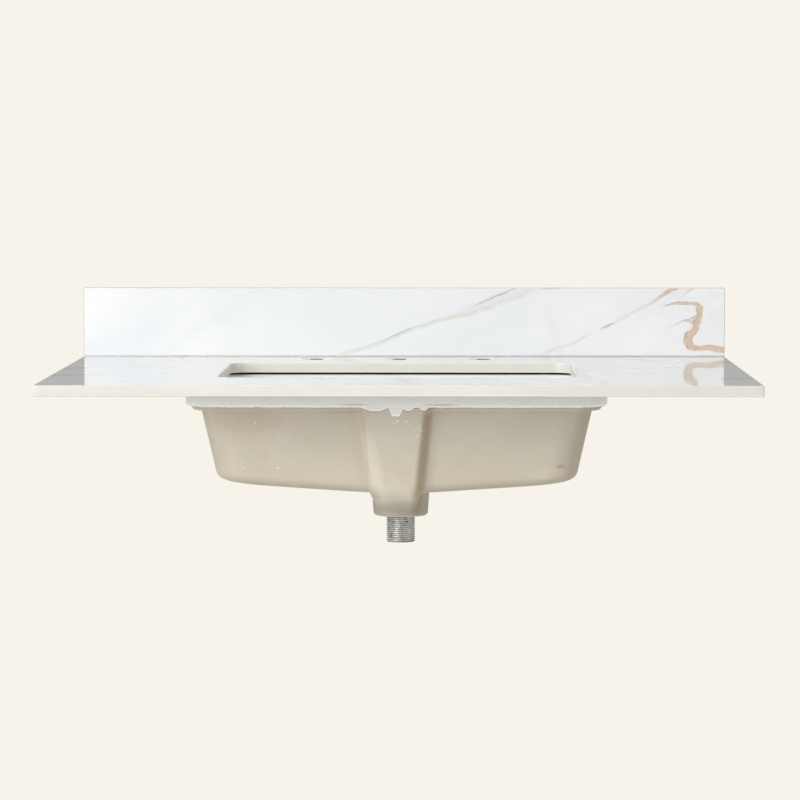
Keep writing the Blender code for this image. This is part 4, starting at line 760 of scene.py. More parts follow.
def wiped_silicone(name):
    """Pale silicone, grey with grime along its foot, more so towards the right."""
    tree, at = start_finish(name)
    x, _, z = tree.parts(at)
    clouds = tree.noise(at, 60, 3, 0.6)
    skin = tree.noise(at, 540, 2)
    grime = tree.fall(z + (clouds - 0.5) * (0.15 * MM), 0.35, 0.5, SLAB_THICKNESS)
    colour = tree.tint(tree.band(clouds, 0.3, 0.7), shade(237, 236, 232), shade(242, 241, 238))
    grey = tree.tint(tree.rise(x, -250, 100), shade(158, 152, 141), shade(120, 120, 117))
    colour = tree.tint(grime * 0.95, colour, grey)
    relief = tree.bump(skin + clouds * 0.5, 0.05 * MM, 0.6)
    return close_finish(tree, Base_Color=colour, Roughness=0.35 + clouds * 0.1, Normal=relief)


bead_mesh = silicone_bead("silicone_bead")
bead_mesh.materials.append(wiped_silicone("pale_silicone"))
fit_piece("silicone_bead", bead_mesh, "sealant", "top", "backsplash_sealant")


# Bead of brown stone adhesive between the counter's underside and the basin's flange, squeezed
# thin when the basin was clamped up and left rough where it was wiped. Its near-black colour is
# partly painted shade, for the dark gap in which it sits.
def dimmed(colour, share):
    return (*(share * value for value in colour[:3]), 1.0)


def rubbery(name, dark, pale, roughness, scale, depth):
    """Cast sealant, rubber or plastic: two close shades in soft clouds and a dimpled skin."""
    tree, at = start_finish(name)
    clouds = tree.noise(at, scale, 3, 0.6)
    skin = tree.noise(at, scale * 9, 2, 0.5)
    specks = tree.band(tree.noise(at, scale * 22, 2), 0.66, 0.76)
    colour = tree.tint(tree.band(clouds, 0.3, 0.7), dark, pale)
    colour = tree.tint(specks * 0.3, colour, dimmed(dark, 0.6))
    relief = tree.bump(skin + clouds * 0.5, depth, 0.6)
    unevenness = (clouds - 0.5) * 0.2
    return close_finish(tree, Base_Color=colour, Roughness=roughness + unevenness, Normal=relief)


def refinish(node, material):
    """Gives a CAD node that keeps its own shape a better material."""
    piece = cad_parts[node]
    for place in range(max(1, len(piece.material_slots))):
        if place < len(piece.material_slots):
            piece.material_slots[place].material = material
        else:
            piece.data.materials.append(material)


# Partly painted shade: the adhesive is made near-black to stand for the dark gap it sits in.
adhesive_and_gap_shade = rubbery("adhesive_and_gap_shade", shade(14, 10, 6), shade(38, 29, 19), 0.8, 90, 0.3 * MM)
refinish("basin_sealant", adhesive_and_gap_shade)

# Basin: vitreous china, slip cast in one piece with its overflow channel, glazed white inside and
# over the flange, and left as bare warm bisque outside, where the glaze ends in a ragged line.
DRAIN_AXIS = Vector((-0.5 * MM, -252.0 * MM, 0))
CUTOUT_TO_BOWL = 4.5 * MM
CUTOUT_TO_BOWL_SIDE = 9.5 * MM
BOWL_HALF_X = CUTOUT[0] / 2 + CUTOUT_TO_BOWL_SIDE
BOWL_HALF_Y = CUTOUT[1] / 2 + CUTOUT_TO_BOWL
RIM_Z = -2.4 * MM
BOWL_CORNER = 30.0 * MM
BOWL_WALL = 10.0 * MM
BOWL_LIP = 3.0 * MM
BOWL_EDGE_DEPTH = 95.9 * MM
WALL_LEAN = 18.0 * MM
BODY_WALL_AT_RIM = 13.3 * MM
BODY_LEAN = 23.0 * MM
BODY_SET_OVER = -3.2 * MM
SET_OVER_START = 60.0 * MM
SET_OVER_RUN = 90.0 * MM
FLOOR_FALL_X = 0.066
FLOOR_FALL_Y = 0.020
FLOOR_VALLEY_ROUND = 20.0 * MM
CORNER_UP_WALL = 12.0 * MM
CORNER_ALONG_FLOOR = 0.15
BODY_HALF_X = BOWL_HALF_X + BODY_WALL_AT_RIM
BODY_HALF_Y = BOWL_HALF_Y + BODY_WALL_AT_RIM
BODY_CORNER = BOWL_CORNER + BOWL_WALL
FLANGE_REACH = 11.9 * MM
FLANGE_CORNER = 45.0 * MM
FLANGE_HALF_X = BODY_HALF_X + FLANGE_REACH
FLANGE_HALF_Y = BODY_HALF_Y + FLANGE_REACH
FLANGE_HEIGHT = 18.5 * MM
FLANGE_LOWER_EDGE = 6.0 * MM
FLANGE_UPPER_EDGE = 2.0 * MM
FLANGE_UNDERSIDE_DROP = 3.5 * MM
FLANGE_FILLET = 3.5 * MM
RIDGE_TOP = (39.5 * MM, 27.0 * MM)
RIDGE_KNEE = (30.5 * MM, 17.5 * MM)
RIDGE_FOOT = (22.0 * MM, 13.0 * MM)
RIDGE_FLARE = (4.0 * MM, 13.0 * MM)
RIDGE_PROUD_AT_TOP = 14.7 * MM
RIDGE_PROUD_AT_KNEE = 14.7 * MM
RIDGE_UNDER_FLOOR = 3.0 * MM
RIDGE_ABOVE_BOSS_BOTTOM = 9.0 * MM
RIDGE_SKIN = 7.0 * MM
CHANNEL_SET_OVER = -3.5 * MM
CHANNEL_WIDTHS = (40.0 * MM, 22.0 * MM)
CHANNEL_THICKNESSES = (9.0 * MM, 6.0 * MM)
OVERFLOW_SLOT = (34.0 * MM, 9.0 * MM)
SLOT_BELOW_RIM = 32.0 * MM
BOSS_TOP_RADIUS = 33.5 * MM
BOSS_BOTTOM_RADIUS = 31.5 * MM
BOSS_FILLET = 5.0 * MM
BOSS_EDGE = 4.0 * MM
BOSS_HEIGHT = 34.0 * MM
DRAIN_RECESS_RADIUS = 32.5 * MM
DRAIN_RECESS_DEPTH = 2.6 * MM
DRAIN_RECESS_LIP = 1.2 * MM
DRAIN_BORE_RADIUS = 22.0 * MM
NUT_RECESS_RADIUS = 25.0 * MM
NUT_RECESS_DEPTH = 14.0 * MM
NUT_RECESS_CHAMFER = 0.4 * MM
CORNER_STEPS = 12
SIDE_STEPS = 16
BACK_STEPS = 24
RUN_STEPS = 12
FLARE_STEPS = 8
CREST_STEPS = 10
SLOT_STEPS = 32
LIP_ROWS = 5
INSIDE_CORNER_ROWS = 9
OUTSIDE_CORNER_ROWS = 11
FLANGE_FILLET_ROWS = 4
BOSS_FILLET_ROWS = 5
BASIN_SHARP_ANGLE = 42
INSIDE_FLOOR_ROWS = (1, 0.98, 0.95, 0.9, 0.8, 0.7, 0.6, 0.5, 0.4, 0.3)
INSIDE_WALL_ROWS = (0.2, 0.3, 0.4, 0.5, 0.6, 0.7, 0.8, 0.9)
OUTSIDE_WALL_ROWS = (0.66, 0.58, 0.5, 0.42, 0.34, 0.26, 0.19)
OUTSIDE_FLOOR_ROWS = (0.3, 0.4, 0.5, 0.6, 0.7, 0.8, 0.9, 1)
BOSS_ROWS = (0, 0.15, 0.3, 0.45, 0.6, 0.75, 0.9, 1)
COARSE_ANGLES = (22, 45, 68, 90)
FINE_ANGLES = (15, 30, 45, 60, 75, 90)


def mix(a, b, share):
    return a + (b - a) * share


def ease(share):
    return share * share * (3 - 2 * share)


def shares(steps):
    """Shares of the way strictly between 0 and 1."""
    return [step / (steps + 1) for step in range(1, steps + 1)]


def curved(start, corner, end, share):
    return start.lerp(corner, share).lerp(corner.lerp(end, share), share)


def curved_rings(start, corner, end, count):
    """Rings between two others, on a curve that heads for the corner's ring from both."""
    rings = []
    for share in shares(count):
        rings.append([curved(a, b, c, share) for a, b, c in zip(start, corner, end)])
    return rings


def floor_z(x, y, thickness):
    """Height of the bowl's floor, or of its underside, which falls to the drain like a shallow
    roof turned over."""
    fall_x = FLOOR_FALL_X * (BOWL_HALF_X - WALL_LEAN - math.hypot(x, FLOOR_VALLEY_ROUND))
    fall_y = FLOOR_FALL_Y * (BOWL_HALF_Y - WALL_LEAN - math.hypot(y, FLOOR_VALLEY_ROUND))
    return RIM_Z - BOWL_EDGE_DEPTH - thickness - fall_x - fall_y


SEAT_Z = floor_z(0, 0, 0) - DRAIN_RECESS_DEPTH
BOSS_BOTTOM_Z = floor_z(0, 0, BOWL_WALL) - BOSS_HEIGHT
SHOULDER_Z = BOSS_BOTTOM_Z + NUT_RECESS_DEPTH
RIDGE_FOOT_Z = BOSS_BOTTOM_Z + RIDGE_ABOVE_BOSS_BOTTOM


def front_stations(half_run, ridge):
    """X and ridge share of points along the front side, from left to right."""
    left, right = ridge
    knots = (
        (-half_run, 0, RUN_STEPS),
        (-left - RIDGE_FLARE[0], 0, FLARE_STEPS),
        (-left, 1, CREST_STEPS),
        (right, 1, FLARE_STEPS),
        (right + RIDGE_FLARE[1], 0, RUN_STEPS),
        (half_run, 0, 0),
    )
    stations = []
    for (x, raised, steps), (next_x, next_raised, _) in zip(knots, knots[1:]):
        for step in range(steps):
            share = step / steps
            stations.append((mix(x, next_x, share), mix(raised, next_raised, ease(share))))
    return stations


def set_over(x):
    """How far the casting stands to the left of the drain's middle line, a distance to its side."""
    return BODY_SET_OVER * min(1.0, max(0.0, (abs(x) - SET_OVER_START) / SET_OVER_RUN))


def ring_outline(half_x, half_y, corner, ridge):
    """Points (x, y, ridge share) round a rounded rectangle, counter-clockwise from the front left."""
    run_x, run_y = half_x - corner, half_y - corner
    points = [(x, -half_y, raised) for x, raised in front_stations(run_x, ridge)]

    def add_corner(centre_x, centre_y, start):
        for step in range(CORNER_STEPS):
            angle = math.radians(start + 90 * step / CORNER_STEPS)
            x, y = centre_x + corner * math.cos(angle), centre_y + corner * math.sin(angle)
            points.append((x, y, 0))

    def add_side(start, end, steps):
        for step in range(steps):
            share = step / steps
            x, y = mix(start[0], end[0], share), mix(start[1], end[1], share)
            points.append((x, y, 0))

    add_corner(run_x, -run_y, -90)
    add_side((half_x, -run_y), (half_x, run_y), SIDE_STEPS)
    add_corner(run_x, run_y, 0)
    add_side((run_x, half_y), (-run_x, half_y), BACK_STEPS)
    add_corner(-run_x, run_y, 90)
    add_side((-half_x, run_y), (-half_x, -run_y), SIDE_STEPS)
    add_corner(-run_x, -run_y, 180)
    return [(x + set_over(x), y, raised) for x, y, raised in points]


def circle_angles():
    """An angle for each ring point: the ridge's own points keep their X on the boss, and the
    others share the rest of the circle by their distance along the body's outline."""
    points = ring_outline(BODY_HALF_X, BODY_HALF_Y, BODY_CORNER, RIDGE_FOOT)
    first, last = RUN_STEPS, RUN_STEPS + 2 * FLARE_STEPS + CREST_STEPS
    angles = {}
    for index in range(first, last + 1):
        angles[index] = math.asin(points[index][0] / BOSS_TOP_RADIUS) - math.pi / 2
    order = [*range(last, len(points)), *range(first + 1)]
    steps = [math.dist(points[a][:2], points[b][:2]) for a, b in zip(order, order[1:])]
    start, end = angles[last], angles[first] + 2 * math.pi
    covered = 0.0
    for index, step in zip(order[1:-1], steps):
        covered += step
        angles[index] = mix(start, end, covered / sum(steps))
    return [angles[index] for index in range(len(points))]


DRAIN_ANGLES = circle_angles()


def drain_circle(radius):
    return [(radius * math.cos(angle), radius * math.sin(angle)) for angle in DRAIN_ANGLES]


def circle_ring(radius, z):
    return [Vector((x, y, z)) for x, y in drain_circle(radius)]


def wall_halves(up_from_edge, wall):
    """Half the wall's length and depth, a share of the way up from the bottom edge to the rim's
    plane. Where wall is 0 this is the bowl's inside, and otherwise its outside."""
    if wall:
        lean = BODY_LEAN * (1 - up_from_edge)
        return BODY_HALF_X - lean, BODY_HALF_Y - lean
    lean = WALL_LEAN * (1 - up_from_edge)
    return BOWL_HALF_X - lean, BOWL_HALF_Y - lean


def bowl_wall_ring(up_from_edge, wall, raised=True):
    """A ring on the wall, a share of the way up from the bottom edge to the rim's plane."""
    half_x, half_y = wall_halves(up_from_edge, wall)
    ridge = tuple(mix(knee, top, up_from_edge) for knee, top in zip(RIDGE_KNEE, RIDGE_TOP))
    proud = mix(RIDGE_PROUD_AT_KNEE, RIDGE_PROUD_AT_TOP, up_from_edge) if raised else 0
    ring = []
    for x, y, share in ring_outline(half_x, half_y, BOWL_CORNER + wall, ridge):
        z = mix(floor_z(x, y, wall), RIM_Z, up_from_edge)
        ring.append(Vector((x, y - proud * share, z)))
    return ring


def floor_ring(toward_drain, wall, inner_radius):
    """A ring on the floor, a share of the way from its edge to the drain. Under the floor the
    ridge hangs lower towards its foot on the boss."""
    half_x, half_y = wall_halves(0, wall)
    edge = ring_outline(half_x, half_y, BOWL_CORNER + wall, RIDGE_KNEE)
    ring = []
    for (edge_x, edge_y, share), (drain_x, drain_y) in zip(edge, drain_circle(inner_radius)):
        x, y = mix(edge_x, drain_x, toward_drain), mix(edge_y, drain_y, toward_drain)
        z = floor_z(x, y, wall)
        if wall:
            crest_start = floor_z(x, -half_y, wall) - RIDGE_UNDER_FLOOR
            z = mix(z, mix(crest_start, RIDGE_FOOT_Z, toward_drain), share)
        ring.append(Vector((x, y, z)))
    return ring


def bottom_corner_rings(wall, inner_radius, count):
    """Rings that turn from the wall into the floor, in that order."""
    wall_height = RIM_Z - floor_z(BOWL_HALF_X, 0, wall)
    start = bowl_wall_ring(CORNER_UP_WALL / wall_height, wall, wall > 0)
    edge_wall = bowl_wall_ring(0, wall, wall > 0)
    edge_floor = floor_ring(0, wall, inner_radius)
    corner = [Vector((a.x, a.y, b.z)) for a, b in zip(edge_wall, edge_floor)]
    end = floor_ring(CORNER_ALONG_FLOOR, wall, inner_radius)
    return [start, *curved_rings(start, corner, end, count), end]


def crest_y(up_from_edge):
    """Y of the ridge's crest, a share of the way up from the bottom edge to the rim's plane."""
    wall_y = wall_halves(up_from_edge, BOWL_WALL)[1]
    return -wall_y - mix(RIDGE_PROUD_AT_KNEE, RIDGE_PROUD_AT_TOP, up_from_edge)


def flange_ring(inset, z, raised=0.0):
    """A ring between the flange's outline and the body's. Where raised is 1, the ridge's points
    lie on its crest, because the ridge runs up into the flange."""
    share = inset / FLANGE_REACH
    outer = ring_outline(FLANGE_HALF_X, FLANGE_HALF_Y, FLANGE_CORNER, RIDGE_TOP)
    inner = ring_outline(BODY_HALF_X, BODY_HALF_Y, BODY_CORNER, RIDGE_TOP)
    crest = crest_y(1 - (RIM_Z - z) / (BOWL_EDGE_DEPTH + BOWL_WALL))
    ring = []
    for (ax, ay, lift), (bx, by, _) in zip(outer, inner):
        x, y = mix(ax, bx, share), mix(ay, by, share)
        ring.append(Vector((x, mix(y, crest, lift * raised), z)))
    return ring


def rim_ring(out_from_bowl, z):
    """A ring on the rim's top, a share of the way from the bowl's edge to the flange's outline."""
    inner = ring_outline(BOWL_HALF_X, BOWL_HALF_Y, BOWL_CORNER, RIDGE_TOP)
    outer = ring_outline(FLANGE_HALF_X, FLANGE_HALF_Y, FLANGE_CORNER, RIDGE_TOP)
    ring = []
    for (ax, ay, _), (bx, by, _) in zip(inner, outer):
        ring.append(Vector((mix(ax, bx, out_from_bowl), mix(ay, by, out_from_bowl), z)))
    return ring


def boss_rings(floor_edge):
    """Rings from the floor's underside down the drain boss, to the edge of the nut's recess."""
    wall_foot_z = BOSS_BOTTOM_Z + BOSS_EDGE
    floor_level = floor_z(0, 0, BOWL_WALL)
    tops = []
    for (x, y), edge in zip(drain_circle(BOSS_TOP_RADIUS), floor_edge):
        fillet = min(BOSS_FILLET, (edge.z - wall_foot_z) / 2)
        tops.append(Vector((x, y, edge.z - fillet)))
    corners = [Vector((top.x, top.y, edge.z)) for top, edge in zip(tops, floor_edge)]
    rings = curved_rings(floor_edge, corners, tops, BOSS_FILLET_ROWS)
    for share in BOSS_ROWS:
        ring = []
        for top in tops:
            z = mix(top.z, wall_foot_z, share)
            up_boss = (z - wall_foot_z) / (floor_level - wall_foot_z)
            radius = mix(BOSS_BOTTOM_RADIUS, BOSS_TOP_RADIUS, up_boss)
            ring.append(Vector((top.x, top.y, 0)).normalized() * radius + Vector((0, 0, z)))
        rings.append(ring)
    for angle in FINE_ANGLES:
        turn = math.radians(angle)
        radius = BOSS_BOTTOM_RADIUS - BOSS_EDGE * (1 - math.cos(turn))
        rings.append(circle_ring(radius, wall_foot_z - BOSS_EDGE * math.sin(turn)))
    return rings


def inside_rings():
    """Rings from the drain's bore up the inside of the bowl and over the rim to the flange's edge."""
    recess_edge = DRAIN_RECESS_RADIUS + DRAIN_RECESS_LIP
    rings = [circle_ring(DRAIN_BORE_RADIUS, SEAT_Z), circle_ring(DRAIN_RECESS_RADIUS, SEAT_Z)]
    lip_start = []
    for x, y in drain_circle(DRAIN_RECESS_RADIUS):
        lip_start.append(Vector((x, y, floor_z(x, y, 0) - DRAIN_RECESS_LIP)))
    rings.append(lip_start)
    rings += [floor_ring(share, 0, recess_edge) for share in INSIDE_FLOOR_ROWS]
    rings += reversed(bottom_corner_rings(0, recess_edge, INSIDE_CORNER_ROWS))
    lip_share = 1 - BOWL_LIP / (BOWL_EDGE_DEPTH + BOWL_LIP)
    rings += [bowl_wall_ring(share, 0, False) for share in (*INSIDE_WALL_ROWS, lip_share)]
    rim_width = FLANGE_HALF_X - BOWL_HALF_X
    lip_top = rim_ring(BOWL_LIP / rim_width, RIM_Z)
    rings += curved_rings(rings[-1], rim_ring(0, RIM_Z), lip_top, LIP_ROWS)
    rings += [lip_top, rim_ring(0.5, RIM_Z), rim_ring(1 - FLANGE_UPPER_EDGE / rim_width, RIM_Z)]
    return rings


def outside_rings():
    """Rings from the flange's top edge down the outside to the boss and back up its nut recess."""
    rings = []
    for angle in COARSE_ANGLES:
        turn = math.radians(angle)
        inset = FLANGE_UPPER_EDGE * (1 - math.sin(turn))
        rings.append(flange_ring(inset, RIM_Z - FLANGE_UPPER_EDGE * (1 - math.cos(turn))))
    flange_foot = RIM_Z - FLANGE_HEIGHT
    rings.append(flange_ring(0, mix(rings[-1][0].z, flange_foot + FLANGE_LOWER_EDGE, 0.5)))
    for angle in (0, *FINE_ANGLES):
        turn = math.radians(angle)
        inset = FLANGE_LOWER_EDGE * (1 - math.cos(turn))
        z = flange_foot + FLANGE_LOWER_EDGE * (1 - math.sin(turn))
        rings.append(flange_ring(inset, z, math.sin(turn)))
    underside_end = flange_ring(FLANGE_REACH - FLANGE_FILLET, flange_foot - FLANGE_UNDERSIDE_DROP, 1)
    wall_height = BOWL_EDGE_DEPTH + BOWL_WALL
    below_rim = FLANGE_HEIGHT + FLANGE_UNDERSIDE_DROP
    corner = bowl_wall_ring(1 - (below_rim + FLANGE_FILLET / 4) / wall_height, BOWL_WALL)
    wall_start = bowl_wall_ring(1 - (below_rim + FLANGE_FILLET) / wall_height, BOWL_WALL)
    rings.append([a.lerp(b, 0.5) for a, b in zip(rings[-1], underside_end)])
    rings.append(underside_end)
    rings += curved_rings(underside_end, corner, wall_start, FLANGE_FILLET_ROWS)
    rings.append(wall_start)
    rings += [bowl_wall_ring(share, BOWL_WALL) for share in OUTSIDE_WALL_ROWS]
    boss_edge = BOSS_TOP_RADIUS + BOSS_FILLET
    rings += bottom_corner_rings(BOWL_WALL, boss_edge, OUTSIDE_CORNER_ROWS)
    rings += [floor_ring(share, BOWL_WALL, boss_edge) for share in OUTSIDE_FLOOR_ROWS]
    rings += boss_rings(rings[-1])
    return rings + [
        circle_ring(NUT_RECESS_RADIUS + NUT_RECESS_CHAMFER, BOSS_BOTTOM_Z),
        circle_ring(NUT_RECESS_RADIUS, BOSS_BOTTOM_Z + NUT_RECESS_CHAMFER),
        circle_ring(NUT_RECESS_RADIUS, SHOULDER_Z),
        circle_ring(DRAIN_BORE_RADIUS, SHOULDER_Z),
    ]


def drain_mesh(shape, name):
    """A mesh from a closed bmesh that was made round the drain's axis, moved to its place."""
    shape.transform(Matrix.Translation(DRAIN_AXIS))
    return mesh_from(shape, name)


def channel_sections():
    """Sections of the overflow channel, which follows the ridge's crest inside its skin."""
    crest = []
    slot_up = 1 - (SLOT_BELOW_RIM - OVERFLOW_SLOT[1]) / (BOWL_EDGE_DEPTH + BOWL_WALL)
    for up in (slot_up, 0.4, 0.1):
        y = crest_y(up)
        crest.append(Vector((0, y, mix(floor_z(0, y, BOWL_WALL), RIM_Z, up))))
    edge = floor_ring(0, BOWL_WALL, BOSS_TOP_RADIUS + BOSS_FILLET)
    middle = RUN_STEPS + FLARE_STEPS + CREST_STEPS // 2
    for share in (0.15, 0.6, 1):
        y = mix(edge[middle].y, -BOSS_TOP_RADIUS, share)
        crest.append(Vector((0, y, mix(edge[middle].z, RIDGE_FOOT_Z, share))))
    past_crest = BOSS_TOP_RADIUS - DRAIN_BORE_RADIUS + RIDGE_SKIN
    crest.append(crest[-1] + (crest[-1] - crest[-2]).normalized() * past_crest)
    sections = []
    for index, point in enumerate(crest):
        along = (crest[min(index + 1, len(crest) - 1)] - crest[max(index - 1, 0)]).normalized()
        inward = Vector((0, -along.z, along.y))
        share = index / (len(crest) - 1)
        half_width = mix(*CHANNEL_WIDTHS, share) / 2
        near = point + inward * RIDGE_SKIN
        far = near + inward * mix(*CHANNEL_THICKNESSES, share)
        left = Vector((CHANNEL_SET_OVER - half_width, 0, 0))
        right = Vector((CHANNEL_SET_OVER + half_width, 0, 0))
        sections.append([near + left, near + right, far + right, far + left])
    return sections


def slot_sections():
    """Two round-ended outlines, in front of and behind the wall that the overflow slot pierces."""
    half_width, half_height = OVERFLOW_SLOT[0] / 2, OVERFLOW_SLOT[1] / 2
    front_y = channel_sections()[0][0].y + CHANNEL_THICKNESSES[0] / 2
    sections = []
    for y in (front_y, -BOWL_HALF_Y + WALL_LEAN):
        ring = []
        for step in range(SLOT_STEPS):
            angle = 2 * math.pi * (step + 0.5) / SLOT_STEPS
            run = math.copysign(half_width - half_height, math.cos(angle))
            x, z = run + half_height * math.cos(angle), half_height * math.sin(angle)
            ring.append(Vector((CHANNEL_SET_OVER + x, y, RIM_Z - SLOT_BELOW_RIM + z)))
        sections.append(ring)
    return sections


def placed(mesh):
    """A bare object for a mesh that is still being worked on."""
    item = bpy.data.objects.new("workpiece", mesh)
    scene.collection.objects.link(item)
    return item


def worked(item):
    """The mesh that an object's modifiers make."""
    return bpy.data.meshes.new_from_object(
        item.evaluated_get(bpy.context.evaluated_depsgraph_get())
    )


def cut_away(mesh, *tool_meshes):
    """The mesh with each tool's space cut out of it."""
    item, *tools = [placed(each) for each in (mesh, *tool_meshes)]
    for tool in tools:
        modifier = item.modifiers.new("cut", "BOOLEAN")
        modifier.object = tool
        modifier.solver = "EXACT"
    result = worked(item)
    for leftover in (item, *tools):
        bpy.data.objects.remove(leftover)
    return result


def smooth_over(mesh, angle):
    """Smooth shading, broken where two faces meet at more than the angle."""
    mesh.shade_smooth()
    mesh.set_sharp_from_angle(angle=math.radians(angle))


def china_glaze(tree, at):
    """Colour, roughness and relief of white glaze: faint clouds, pinholes and an orange-peel skin."""
    clouds = tree.noise(at, 9, 3, 0.5)
    colour = tree.tint(tree.band(clouds, 0.3, 0.7), shade(237, 237, 234), shade(242, 241, 238))
    pinholes = tree.band(tree.noise(at, 330, 1), 0.74, 0.78)
    colour = tree.tint(pinholes * 0.6, colour, shade(178, 168, 148))
    relief = tree.noise(at, 55, 2) * 0.6 + tree.noise(at, 8, 1) * 1.5 - pinholes * 0.5
    return colour, 0.07 + clouds * 0.05, relief


def inner_glaze(name):
    """The white glaze of the bowl and the rim."""
    tree, at = start_finish(name)
    colour, roughness, relief = china_glaze(tree, at)
    relief = tree.bump(relief, 0.08 * MM, 0.5)
    return close_finish(tree, Base_Color=colour, Roughness=roughness, IOR=1.52, Normal=relief)


# The glaze ends in runs: place across, half width, the share of it that is flat, and length.
GLAZE_FOOT_Z = -19.6 * MM
GLAZE_RUNS = ((-27, 17, 0.2, 4.2), (-4, 9, 0.4, 9.8), (10, 8, 0.2, 3.6), (27, 6, 0.3, 3.4))

# Where the ridge's left crest and right flank would meet the counter's underside, and how much
# they lean together on the way down. They place the painted highlight on the crest and the
# painted shade on the flank.
LEFT_CREST_X = -48.2 * MM
LEFT_CREST_SLOPE = 0.2
RIGHT_FLANK_X = 35.7 * MM
RIGHT_FLANK_SLOPE = 0.128

# Marks that the kiln and the fitter left on the front: place across, height, half width and half
# height, and for a crumb its half width alone. All are in millimetres, as in the runs.
PINK_STAINS = ((-172, -34, 42, 15), (-60, -24.5, 20, 2.2), (38, -24.5, 8, 2.2))
BROWN_STREAKS = ((46, -16.6, 17, 1.1), (-50, -16.4, 16, 1.0), (-214, -18.6, 7, 0.9))
RUST_SPOT = (179.5, -87.5, 5, 2.2)
CRUMB_CLUSTER = (22, -46.5, 5, 9.5)
WHITE_CRUMBS = (
    (-160.5, -38.8, 1.1), (-166.2, -75.6, 1.0), (-174.6, -82.3, 0.9), (-146.2, -81.1, 0.9),
    (-136.2, -89.4, 1.6), (-174, -89.4, 1.0), (21.8, -40.7, 1.1), (24, -46.3, 1.3),
    (22.9, -51.8, 1.0), (-2.2, -34.8, 1.5), (7.2, -35.3, 1.5), (-6.4, -37.3, 1.0),
)


